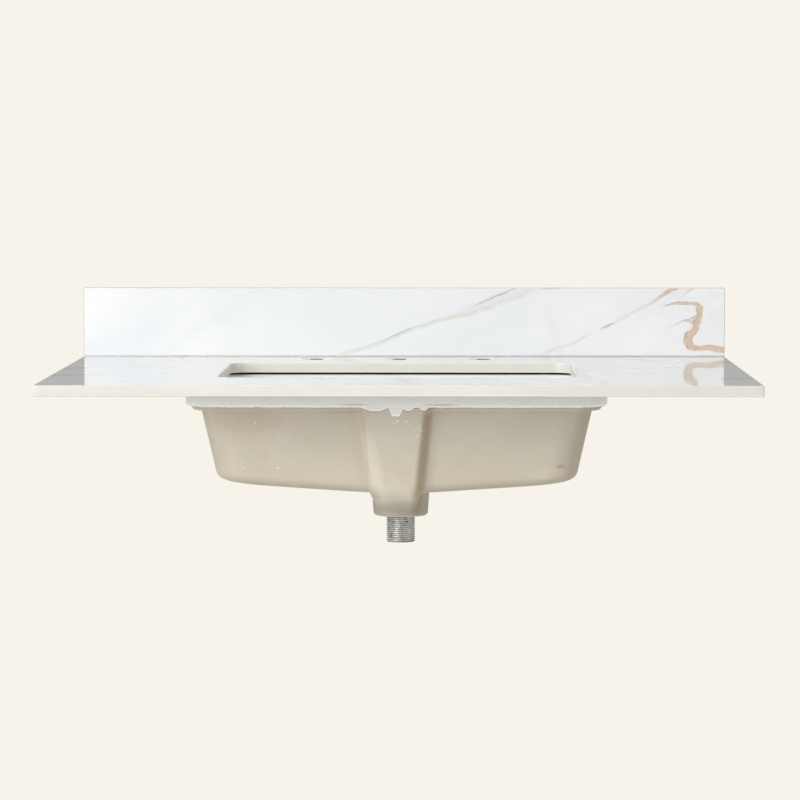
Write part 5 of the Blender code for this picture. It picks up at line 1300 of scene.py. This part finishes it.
def part_glazed(name):
    """The basin's outside: glaze on the flange and in a ragged run over the ridge, bisque below,
    with handling marks, stains and crumbs. Light and shade are painted on: highlights along the
    glaze's edge, the ridge's left crest and foot and the boss's foot, and shade under the glaze's
    edge, beside the crest, on the right flank and end, along the bottom edge and on the boss."""
    tree, at = start_finish(name)
    x, y, z = tree.parts(at)
    fine = tree.noise(at, 150, 3, 0.65) - 0.5
    lean = BODY_LEAN / (BOWL_EDGE_DEPTH + BOWL_WALL)
    front = tree.fall(y + z * lean, -406, -396)
    coarse = (tree.noise(at, 26, 2, 0.6) - 0.5) * (5 * MM)
    ragged = coarse * (1 - front * 0.75) + fine * (2 * MM)
    runs = 0
    for centre, half_width, flat, length in GLAZE_RUNS:
        away = abs(x + fine * (3 * MM) - centre * MM)
        runs = runs + tree.fall(away, half_width * flat, half_width) * (length * MM)
    edge = z - GLAZE_FOOT_Z + runs * front + ragged
    covered = tree.rise(edge, -0.25, 0.25)

    def mark(softness, centre_x, centre_z, half_width, half_height):
        """1 inside an upright oval on the front, with a ragged edge."""
        across = (x - centre_x * MM) / (half_width * MM)
        up = (z - centre_z * MM) / (half_height * MM)
        away = tree.maths("SQRT", across * across + up * up) + fine * 0.9
        return (1 - tree.band(away, 1 - softness, 1 + softness)) * front

    glaze_colour, glaze_roughness, glaze_relief = china_glaze(tree, at)
    brown = tree.most(*(mark(0.5, *streak) for streak in BROWN_STREAKS))
    # Painted highlight: a white line along the glaze's edge. The brown streaks are stains.
    glaze_colour = tree.stained(
        glaze_colour,
        (brown * 0.55, (170, 152, 143)),
        (0.2, (228, 226, 218)),
        (tree.span(edge, 0, 0.3, 1.3, 1.9) * 0.9, (254, 254, 252)),
    )

    clouds = tree.noise(at, 12, 4, 0.6)
    grit = tree.noise(at, 520, 3, 0.6)
    handled = tree.band(tree.noise(at, 30, 3, 0.6), 0.55, 0.8)
    # Painted shade: darker along the body's bottom edge, at the front.
    above_edge = z + (abs(x - DRAIN_AXIS.x) - (BOWL_HALF_X - WALL_LEAN)) * -FLOOR_FALL_X
    low = tree.fall(above_edge, -103, -96)
    # Painted shade: darker towards the right end, away from the key lamp.
    right_end_shade = tree.rise(x - z * lean, 200, 212)
    left_end = tree.fall(x + z * lean, -215, -204)
    # Painted highlight along the ridge's left crest, and painted shade in the valley to its left.
    from_left_crest = x + z * LEFT_CREST_SLOPE - LEFT_CREST_X
    left_crest_highlight = tree.fall(abs(from_left_crest - 2.5 * MM), 1, 12) * tree.fall(z, -62, -40)
    left_valley_shade = tree.fall(abs(from_left_crest + 12 * MM), 1, 10)
    # Painted shade on the ridge's right flank.
    right_flank_shade = tree.fall(abs(x - z * RIGHT_FLANK_SLOPE - RIGHT_FLANK_X), 2.5, 8.5)
    # Painted light on the ridge's foot, above the boss.
    ridge_foot_light = tree.span(z, -137, -124, -120, -106) * tree.fall(abs(x + 4 * MM), 14, 24)
    # Painted shade on the boss, below the bowl.
    boss_shade = tree.fall(z, -146, -130)
    # Painted highlight along the boss's foot.
    boss_foot_highlight = tree.fall(z, 0.4, 1.1, BOSS_BOTTOM_Z)
    shadow_line = tree.rise(edge, -1.4, -0.9) * tree.band(tree.noise(at, 60, 2), 0.35, 0.6)
    strewn = tree.band(tree.noise(at, 95, 3, 0.7), 0.7, 0.72)
    strewn = strewn * tree.band(tree.noise(at, 14, 2), 0.52, 0.6)
    cluster = mark(0.5, *CRUMB_CLUSTER) * tree.band(tree.noise(at, 420, 1), 0.56, 0.62)
    single = [mark(0.35, *place, size, size * 0.8) for *place, size in WHITE_CRUMBS]
    crumbs = tree.most(strewn, *single, cluster)
    bisque = tree.stained(
        tree.tint(tree.band(clouds, 0.25, 0.75), shade(195, 187, 170), shade(204, 196, 180)),
        (tree.band(grit, 0.45, 0.85) * 0.25, (178, 167, 146)),
        (handled * 0.3, (190, 179, 159)),
        (low * front * 0.4, (176, 170, 147)),
        (right_end_shade * 0.35, (164, 156, 134)),
        (left_end * front * 0.5, (203, 182, 161)),
        (left_crest_highlight * 0.5, (222, 214, 198)),
        (left_valley_shade * front * 0.12, (170, 160, 140)),
        (right_flank_shade * 0.8, (175, 160, 136)),
        (ridge_foot_light * 0.65, (234, 227, 212)),
        *((mark(0.8, *stain) * 0.4, (184, 165, 149)) for stain in PINK_STAINS),
        (boss_shade * 0.55, (170, 160, 148)),
        (boss_foot_highlight * 0.7, (236, 233, 226)),
        (shadow_line * 0.55, (140, 128, 109)),
        (mark(0.7, *RUST_SPOT) * 0.7, (190, 146, 106)),
        (crumbs * 0.65, (228, 223, 212)),
    )
    colour = tree.tint(covered, bisque, glaze_colour)
    roughness = (0.72 + grit * 0.15) * (1 - covered) + glaze_roughness * covered - crumbs * 0.2
    height = (grit * 0.25 + clouds * 0.5) * (1 - covered) + (glaze_relief * 0.3 + 0.9) * covered
    relief = tree.bump(height, 0.25 * MM, 0.6)
    return close_finish(tree, Base_Color=colour, Roughness=roughness, IOR=1.5, Normal=relief)


glazed_rings = inside_rings()
basin_shape = lofted(glazed_rings + outside_rings(), True)
basin_shape.verts.index_update()
glazed_count = len(glazed_rings)
for face in basin_shape.faces:
    rows = [vert.index // len(DRAIN_ANGLES) for vert in face.verts]
    face.material_index = 0 if max(rows) <= glazed_count and min(rows) < glazed_count else 1
basin_mesh = drain_mesh(basin_shape, "china_basin_body")
basin_mesh.materials.append(inner_glaze("basin_glaze"))
basin_mesh.materials.append(part_glazed("basin_outside"))
channel_tool = drain_mesh(lofted(channel_sections(), False), "channel_tool")
slot_tool = drain_mesh(lofted(slot_sections(), False), "slot_tool")
basin_mesh = cut_away(basin_mesh, channel_tool, slot_tool)
basin_mesh.name = "china_basin"
smooth_over(basin_mesh, BASIN_SHARP_ANGLE)
fit_piece("china_basin", basin_mesh, "ceramic", "top", "basin")

# Drain: a brass flange, barrel and tail, turned on a lathe, screwed together and nickel plated.
# The flange is dished for the stopper's seal, the barrel has four windows for the overflow, and
# the tail carries a pipe thread down to its end.
SEAT_GAP = 0.3 * MM
DRAIN_FLANGE_RADIUS = 31.5 * MM
DRAIN_FLANGE_RIM = 2.2 * MM
DISH_DEPTH = 3.1 * MM
THROAT_ROUND = 3.5 * MM
THROAT_LENGTH = 0.5 * MM
COLLAR_WALL = 1.6 * MM
COLLAR_LENGTH = 8.5 * MM
BARREL_RADIUS = 19.5 * MM
BARREL_WALL = 2.6 * MM
BARREL_LENGTH = 24.0 * MM
WINDOW_COUNT = 4
WINDOW_WIDTH = 12.0 * MM
WINDOW_HEIGHT = 8.0 * MM
WINDOW_TOOL_REACH = 10.0 * MM
TAIL_RADIUS = 16.6 * MM
TAIL_WALL = 2.4 * MM
TAIL_CHAMFER = 0.8 * MM
TAIL_SOCKET = 6.0 * MM
TAIL_BELOW_BOSS = 30.5 * MM
THREAD_PITCH = 2.309 * MM
THREAD_DEPTH = 1.25 * MM
THREAD_RUNOUT = 1.6 * MM
THREAD_UP_BOSS = 16.0 * MM
ROWS_PER_PITCH = 14
THREAD_STEPS = 128
TURNED_STEPS = 96
FLANGE_EASE = 0.5 * MM
BARREL_EASE = 0.3 * MM
TURNED_SHARP_ANGLE = 40
THREAD_SHARP_ANGLE = 60
TOOL_RINGS_ACROSS = 3000
TOOL_RINGS_ALONG = 2200
FLANGE_GASKET = 2.1 * MM
TAIL_BOTTOM_Z = BOSS_BOTTOM_Z - TAIL_BELOW_BOSS
FLANGE_UNDER_Z = SEAT_Z + FLANGE_GASKET
FLANGE_TOP_Z = FLANGE_UNDER_Z + DRAIN_FLANGE_RIM
THROAT_RADIUS = BARREL_RADIUS - BARREL_WALL
DISH_INNER_RADIUS = THROAT_RADIUS + THROAT_ROUND
DISH_OUTER_RADIUS = DRAIN_FLANGE_RADIUS - DRAIN_FLANGE_RIM / 2
DISH_Z = FLANGE_TOP_Z - DISH_DEPTH
THROAT_FOOT_Z = DISH_Z - THROAT_ROUND - THROAT_LENGTH
COLLAR_FOOT_Z = FLANGE_UNDER_Z - COLLAR_LENGTH
COLLAR_BORE_RADIUS = BARREL_RADIUS + SEAT_GAP
BARREL_TOP_Z = THROAT_FOOT_Z - SEAT_GAP
BARREL_FOOT_Z = FLANGE_UNDER_Z - BARREL_LENGTH
TAIL_TOP_Z = BARREL_FOOT_Z + TAIL_SOCKET
TAIL_BORE_RADIUS = TAIL_RADIUS - TAIL_WALL


def eased_profile(points, radius):
    """A closed profile in (radius, height) with each of its corners turned on a small round."""
    eased = []
    for index, point in enumerate(points):
        corner = Vector(point)
        before, after = Vector(points[index - 1]), Vector(points[(index + 1) % len(points)])
        reach = min(radius, 0.45 * (before - corner).length, 0.45 * (after - corner).length)
        start = corner + (before - corner).normalized() * reach
        end = corner + (after - corner).normalized() * reach
        eased += [curved(start, corner, end, share) for share in (0, 0.33, 0.67, 1)]
    return eased


def turned(profile, name, steps=TURNED_STEPS):
    """A ring turned round the drain's axis from a closed profile."""
    angles = [2 * math.pi * step / steps for step in range(steps)]
    circle = [(math.cos(angle), math.sin(angle)) for angle in angles]
    rings = [[(radius * x, radius * y, z) for x, y in circle] for radius, z in profile]
    return drain_mesh(lofted(rings, True), name)

def about_drain(tree, at):
    """Distance from the drain's axis, and height."""
    moved = tree.add("ShaderNodeMapping", None, {"Vector": at, "Location": -DRAIN_AXIS})
    x, y, z = tree.parts(moved)
    return tree.maths("SQRT", x * x + y * y), z


def worn_thread(name):
    """Nickel worn bright on the thread's crests, with black grime in its grooves and in spots, and
    painted shade along the tail's cut end."""
    tree, at = start_finish(name)
    radius, z = about_drain(tree, at)
    dull = tree.noise(at, 90, 4, 0.65)
    outside = tree.rise(radius, 0.3, 0.6, TAIL_BORE_RADIUS)
    groove = tree.fall(radius + (dull - 0.5) * (0.6 * MM), -1.2, -0.75, TAIL_RADIUS)
    flat_spots = {"Vector": at, "Scale": Vector((1, 1, 1.8))}
    flat = tree.add("ShaderNodeMapping", {"vector_type": "POINT"}, flat_spots)
    spots = tree.band(tree.noise(flat, 200, 2, 0.6), 0.6, 0.64)
    # Painted shade: the cut end is darkened to hold back a highlight on it.
    cut_end_shade = tree.fall(z, 0, 0.6, TAIL_BOTTOM_Z + TAIL_CHAMFER)
    dirt_and_shade = tree.most(groove * outside * 0.55, spots * outside * 0.85, cut_end_shade * outside * 0.8)
    metal = tree.tint(tree.band(dull, 0.35, 0.7), shade(236, 236, 238), shade(212, 211, 208))
    colour = tree.stained(metal, (dirt_and_shade, (46, 43, 40)))
    roughness = 0.2 + dull * 0.14 + dirt_and_shade * 0.4
    relief = tree.bump(dull - dirt_and_shade * 0.3, 0.05 * MM, 0.5)
    return close_finish(
        tree, Base_Color=colour, Metallic=1 - dirt_and_shade * 0.85, Roughness=roughness, Normal=relief
    )


def plated_brass(name, base, worn, roughness, turning):
    """Nickel plate on turned brass: tool rings, dull clouds, and dark water spots."""
    tree, at = start_finish(name)
    radius, z = about_drain(tree, at)
    ring_place = radius * TOOL_RINGS_ACROSS + z * TOOL_RINGS_ALONG
    ring_noise = {"W": ring_place, "Detail": 2}
    rings = tree.add("ShaderNodeTexNoise", {"noise_dimensions": "1D"}, ring_noise)
    dull = tree.noise(at, 60, 4, 0.6)
    spots = tree.band(tree.noise(at, 240, 3, 0.65), 0.6, 0.7)
    colour = tree.tint(tree.band(dull, 0.35, 0.7), base, worn)
    colour = tree.tint(spots * 0.6, colour, dimmed(base, 0.35))
    finish = roughness + dull * 0.16 + spots * 0.25
    relief = tree.bump(rings * turning + dull * 0.4, 0.03 * MM, 0.5)
    return close_finish(tree, Base_Color=colour, Metallic=1.0, Roughness=finish, Normal=relief)


thread_metal = worn_thread("worn_thread")
nickel = plated_brass("nickel_plate", shade(200, 200, 197), shade(176, 174, 168), 0.2, 0.5)
chrome = plated_brass("chrome_plate", shade(224, 225, 226), shade(212, 213, 214), 0.035, 0.1)


def geometry_tree(name, sizes):
    """A geometry tree with named inputs, what gives each input's wire, and their identifiers."""
    nodes = bpy.data.node_groups.new(name, "GeometryNodeTree")
    for way in ("INPUT", "OUTPUT"):
        nodes.interface.new_socket("Geometry", in_out=way, socket_type="NodeSocketGeometry")
    names = {}
    for size in sizes:
        kind = "NodeSocketVector" if size == "Axis" else "NodeSocketFloat"
        names[size] = nodes.interface.new_socket(size, in_out="INPUT", socket_type=kind).identifier
    tree = Tree(nodes)
    return nodes, tree, tree.add("NodeGroupInput").other, names


def end_tree(tree, geometry, material):
    whole = tree.add("GeometryNodeRealizeInstances", None, {"Geometry": geometry})
    dressed = tree.add("GeometryNodeSetMaterial", None, {"Geometry": whole, "Material": material})
    tree.add("NodeGroupOutput", None, {"Geometry": dressed})


def grown(mesh, nodes, names, sizes):
    """The mesh after a geometry tree has worked on it with the given sizes."""
    item = placed(mesh)
    modifier = item.modifiers.new("grow", "NODES")
    modifier.node_group = nodes
    for name, value in sizes.items():
        modifier[names[name]] = value
    result = worked(item)
    bpy.data.objects.remove(item)
    return result


flange_profile = [
    (DISH_INNER_RADIUS, DISH_Z),
    (DISH_OUTER_RADIUS, FLANGE_TOP_Z),
    (DRAIN_FLANGE_RADIUS, FLANGE_TOP_Z - DRAIN_FLANGE_RIM / 3),
    (DRAIN_FLANGE_RADIUS, FLANGE_UNDER_Z),
    (COLLAR_BORE_RADIUS + COLLAR_WALL, FLANGE_UNDER_Z),
    (COLLAR_BORE_RADIUS + COLLAR_WALL, COLLAR_FOOT_Z),
    (COLLAR_BORE_RADIUS, COLLAR_FOOT_Z),
    (COLLAR_BORE_RADIUS, THROAT_FOOT_Z),
    (THROAT_RADIUS, THROAT_FOOT_Z),
    (THROAT_RADIUS, DISH_Z - THROAT_ROUND),
    (mix(THROAT_RADIUS, DISH_INNER_RADIUS, 0.3), DISH_Z - THROAT_ROUND * 0.3),
]
flange_mesh = turned(eased_profile(flange_profile, FLANGE_EASE), "plated_drain_flange")
flange_mesh.materials.append(nickel)
smooth_over(flange_mesh, TURNED_SHARP_ANGLE)
fit_piece("plated_drain_flange", flange_mesh, "plated_brass", "top", "drain_flange")

# The barrel's windows are milled by one tree, which sets its tools round the axis.
window_nodes, window_tree, window_size, window_names = geometry_tree(
    "milled_windows", ("Axis", "Count", "Width", "Height", "Reach", "Level")
)
tool_size = window_tree.joined(
    X=window_size("Reach"), Y=window_size("Width"), Z=window_size("Height")
)
tool = window_tree.add("GeometryNodeMeshCube", None, {"Size": tool_size})
centres = window_tree.add(
    "GeometryNodeMeshCircle", None, {"Vertices": window_size("Count"), "Radius": BARREL_RADIUS}
)
turn = window_tree.joined(
    Z=window_tree.add("GeometryNodeInputIndex") * (2 * math.pi / WINDOW_COUNT)
)
tools = window_tree.add(
    "GeometryNodeInstanceOnPoints", None, {"Points": centres, "Instance": tool, "Rotation": turn}
)
level = window_tree.joined(Z=window_size("Level"))
middle = window_tree.vector("ADD", {0: window_size("Axis"), 1: level})
tools = window_tree.add(
    "GeometryNodeTransform", None, {"Geometry": tools, "Translation": middle}
)
tools = window_tree.add("GeometryNodeRealizeInstances", None, {"Geometry": tools})
milled = window_tree.add(
    "GeometryNodeMeshBoolean",
    {"operation": "DIFFERENCE", "solver": "EXACT"},
    {"Mesh 1": window_size("Geometry"), "Mesh 2": tools},
)
end_tree(window_tree, milled, nickel)
barrel_profile = [
    (BARREL_RADIUS, BARREL_TOP_Z),
    (BARREL_RADIUS, BARREL_FOOT_Z + TAIL_CHAMFER),
    (BARREL_RADIUS - TAIL_CHAMFER, BARREL_FOOT_Z),
    (THROAT_RADIUS, BARREL_FOOT_Z),
    (THROAT_RADIUS, BARREL_TOP_Z),
]
barrel_mesh = grown(
    turned(eased_profile(barrel_profile, BARREL_EASE), "barrel_blank"),
    window_nodes,
    window_names,
    {
        "Axis": DRAIN_AXIS,
        "Count": float(WINDOW_COUNT),
        "Width": WINDOW_WIDTH,
        "Height": WINDOW_HEIGHT,
        "Reach": WINDOW_TOOL_REACH,
        "Level": (COLLAR_FOOT_Z + TAIL_TOP_Z) / 2,
    },
)
smooth_over(barrel_mesh, TURNED_SHARP_ANGLE)
fit_piece("plated_drain_body", barrel_mesh, "plated_brass", "top", "drain_body")

# The tail's thread is cut by one tree, which draws the outer wall in along a helix.
thread_nodes, thread_tree, thread_size, thread_names = geometry_tree(
    "pipe_thread", ("Axis", "Pitch", "Depth", "Radius", "Foot", "Top", "Runout")
)
here = thread_tree.add("GeometryNodeInputPosition")
from_axis = thread_tree.vector("SUBTRACT", {0: here, 1: thread_size("Axis")})
side_x, side_y, side_z = thread_tree.parts(from_axis)
out = thread_tree.joined(X=side_x, Y=side_y)
radius = thread_tree.vector("LENGTH", {0: out}, "Value")
bearing = thread_tree.maths("ARCTAN2", side_y, side_x) / (2 * math.pi)
groove = abs(thread_tree.maths("FRACT", side_z / thread_size("Pitch") - bearing) - 0.5) * 2
flank = thread_tree.band(groove, 0.08, 0.92)
foot_fade = thread_tree.band(side_z - thread_size("Foot"), 0.0, thread_size("Runout"))
top_fade = thread_tree.band(thread_size("Top") - side_z, 0.0, thread_size("Runout"))
on_wall = thread_tree.rise(radius - thread_size("Radius"), -0.06, -0.03)
draw = thread_size("Depth") * flank * foot_fade * top_fade * on_wall * -1
outward = thread_tree.vector("NORMALIZE", {0: out})
shift = thread_tree.vector("SCALE", {"Vector": outward, "Scale": draw})
cut_thread = thread_tree.add(
    "GeometryNodeSetPosition", None, {"Geometry": thread_size("Geometry"), "Offset": shift}
)
end_tree(thread_tree, cut_thread, thread_metal)
thread_top_z, thread_foot_z = BOSS_BOTTOM_Z + THREAD_UP_BOSS, TAIL_BOTTOM_Z + TAIL_CHAMFER
row_count = round((thread_top_z - thread_foot_z) / THREAD_PITCH * ROWS_PER_PITCH)
row_heights = [mix(thread_top_z, thread_foot_z, row / row_count) for row in range(row_count + 1)]
tail_profile = [
    (TAIL_BORE_RADIUS, TAIL_TOP_Z),
    (TAIL_RADIUS, TAIL_TOP_Z),
    *((TAIL_RADIUS, z) for z in row_heights),
    (TAIL_RADIUS - TAIL_CHAMFER, TAIL_BOTTOM_Z),
    (TAIL_BORE_RADIUS, TAIL_BOTTOM_Z),
]
tail_mesh = grown(
    turned(tail_profile, "tail_blank", THREAD_STEPS),
    thread_nodes,
    thread_names,
    {
        "Axis": DRAIN_AXIS,
        "Pitch": THREAD_PITCH,
        "Depth": THREAD_DEPTH,
        "Radius": TAIL_RADIUS,
        "Foot": thread_foot_z - 1 * MM,
        "Top": thread_top_z,
        "Runout": THREAD_RUNOUT,
    },
)
smooth_over(tail_mesh, THREAD_SHARP_ANGLE)
fit_piece("plated_drain_tail", tail_mesh, "plated_brass", "top", "drain_tail")

# Drain seals and back nut: a soft white ring under the flange, a black cone gasket, a nylon slip
# washer, and a hexagon brass nut that draws them up into the recess under the boss.
white_rubber = rubbery("white_rubber", shade(214, 211, 202), shade(226, 224, 216), 0.5, 120, 0.08 * MM)
black_rubber = rubbery("black_rubber", shade(30, 30, 30), shade(44, 43, 42), 0.6, 120, 0.1 * MM)
nylon = rubbery("white_nylon", shade(222, 221, 214), shade(232, 231, 226), 0.32, 90, 0.04 * MM)
refinish("flange_gasket", white_rubber)
refinish("cone_gasket", black_rubber)
refinish("slip_washer", nylon)
refinish("drain_backnut", nickel)

# Push cartridge: a nylon barrel on the tail's cross bar, with its top nut, lugged rotor, steel
# spring and the chromed stem that carries the stopper.
spring_steel = plated_brass("spring_steel", shade(188, 188, 189), shade(170, 170, 172), 0.2, 0.2)
for nylon_piece in ("cartridge_barrel", "cartridge_top_nut", "cartridge_rotor"):
    refinish(nylon_piece, nylon)
refinish("cartridge_spring", spring_steel)
refinish("plunger_stem", chrome)

# Stopper: a domed chrome cap with a rubber seal sprung on its spigot, pushed down to close.
refinish("stopper_seal", black_rubber)
refinish("stopper_cap", chrome)

# Studio: a pale floor at a vanity's height below the counter, a large soft lamp in front on the
# left, weak ones on the right and behind, and a pale surround. Mirrors see the surround greyer
# at the back and on the right, where a real studio's walls are dark.
FLOOR_Z = -0.85
FLOOR_REACH = 15
BACKGROUND = shade(247, 243, 234)
OVER_FRONT = Vector((0, -0.25, 0))

floor_mesh = bpy.data.meshes.new("studio_floor")
floor_signs = ((-1, -1), (1, -1), (1, 1), (-1, 1))
floor_corners = [(x * FLOOR_REACH, y * FLOOR_REACH, FLOOR_Z) for x, y in floor_signs]
floor_mesh.from_pydata(floor_corners, [], [(0, 1, 2, 3)])
floor = bpy.data.objects.new("studio_floor", floor_mesh)
scene.collection.objects.link(floor)
tree, at = start_finish("studio_floor")
lit = tree.add("ShaderNodeBsdfDiffuse", None, {"Color": shade(240, 239, 237)})
painted = tree.add("ShaderNodeEmission", None, {"Color": BACKGROUND})
under_front = (OVER_FRONT.x, OVER_FRONT.y, FLOOR_Z)
away = tree.vector("DISTANCE", {0: at, 1: under_front}, "Value")
path = tree.add("ShaderNodeLightPath", output="Is Camera Ray")
painted_share = tree.most(path.other("Is Glossy Ray") * 0.8, path * tree.band(away, 1.0, 2.0))
above = tree.add("ShaderNodeMixShader", None, {0: painted_share, 1: lit, 2: painted})
clear = tree.add("ShaderNodeBsdfTransparent")
below = tree.add("ShaderNodeNewGeometry", output="Backfacing")
surface = tree.add("ShaderNodeMixShader", None, {0: below, 1: above, 2: clear})
tree.add("ShaderNodeOutputMaterial", None, {"Surface": surface})
floor_mesh.materials.append(tree.material)

world = bpy.data.worlds.new("studio")
scene.world = world
world.use_nodes = True
tree = Tree(world.node_tree)
direction = tree.add("ShaderNodeTexCoord", output="Generated")
east, north, up = tree.parts(direction)
back_wall = tree.band(north, 0.2, 0.7) * (1 - tree.band(up, 0.05, 0.5))
right_side = tree.band(east, 0.3, 0.6) * tree.band(north, -0.2, 0.1) * (1 - tree.band(up, 0.2, 0.6))
glossy_level = 0.62 + tree.band(up, 0.1, 0.8) * 0.25 - back_wall * 0.26 - right_side * 0.3
path = tree.add("ShaderNodeLightPath", output="Is Camera Ray")
glossy = path.other("Is Glossy Ray")
level = (0.5 * (1 - glossy) + glossy_level * glossy) * (1 - path) + path
surround = tree.tint(path, shade(255, 254, 252), BACKGROUND)
backdrop = tree.add("ShaderNodeBackground", None, {"Color": surround, "Strength": level})
tree.add("ShaderNodeOutputWorld", None, {"Surface": backdrop})


def soft_lamp(name, place, aim, size, power):
    lamp = bpy.data.lights.new(name, "AREA")
    lamp.size = size
    lamp.energy = power
    item = bpy.data.objects.new(name, lamp)
    scene.collection.objects.link(item)
    item.location = place
    item.rotation_euler = (Vector(aim) - Vector(place)).to_track_quat("-Z", "Y").to_euler()


soft_lamp("key", (-1.5, -2.5, 0.88), OVER_FRONT, 1.6, 58)
soft_lamp("fill", (2.7, -1.1, 0.45), OVER_FRONT, 0.9, 7)
soft_lamp("rear", (0.4, 1.8, 1.6), (0, -0.1, 0), 1.2, 8)

scene.view_settings.view_transform = "Standard"
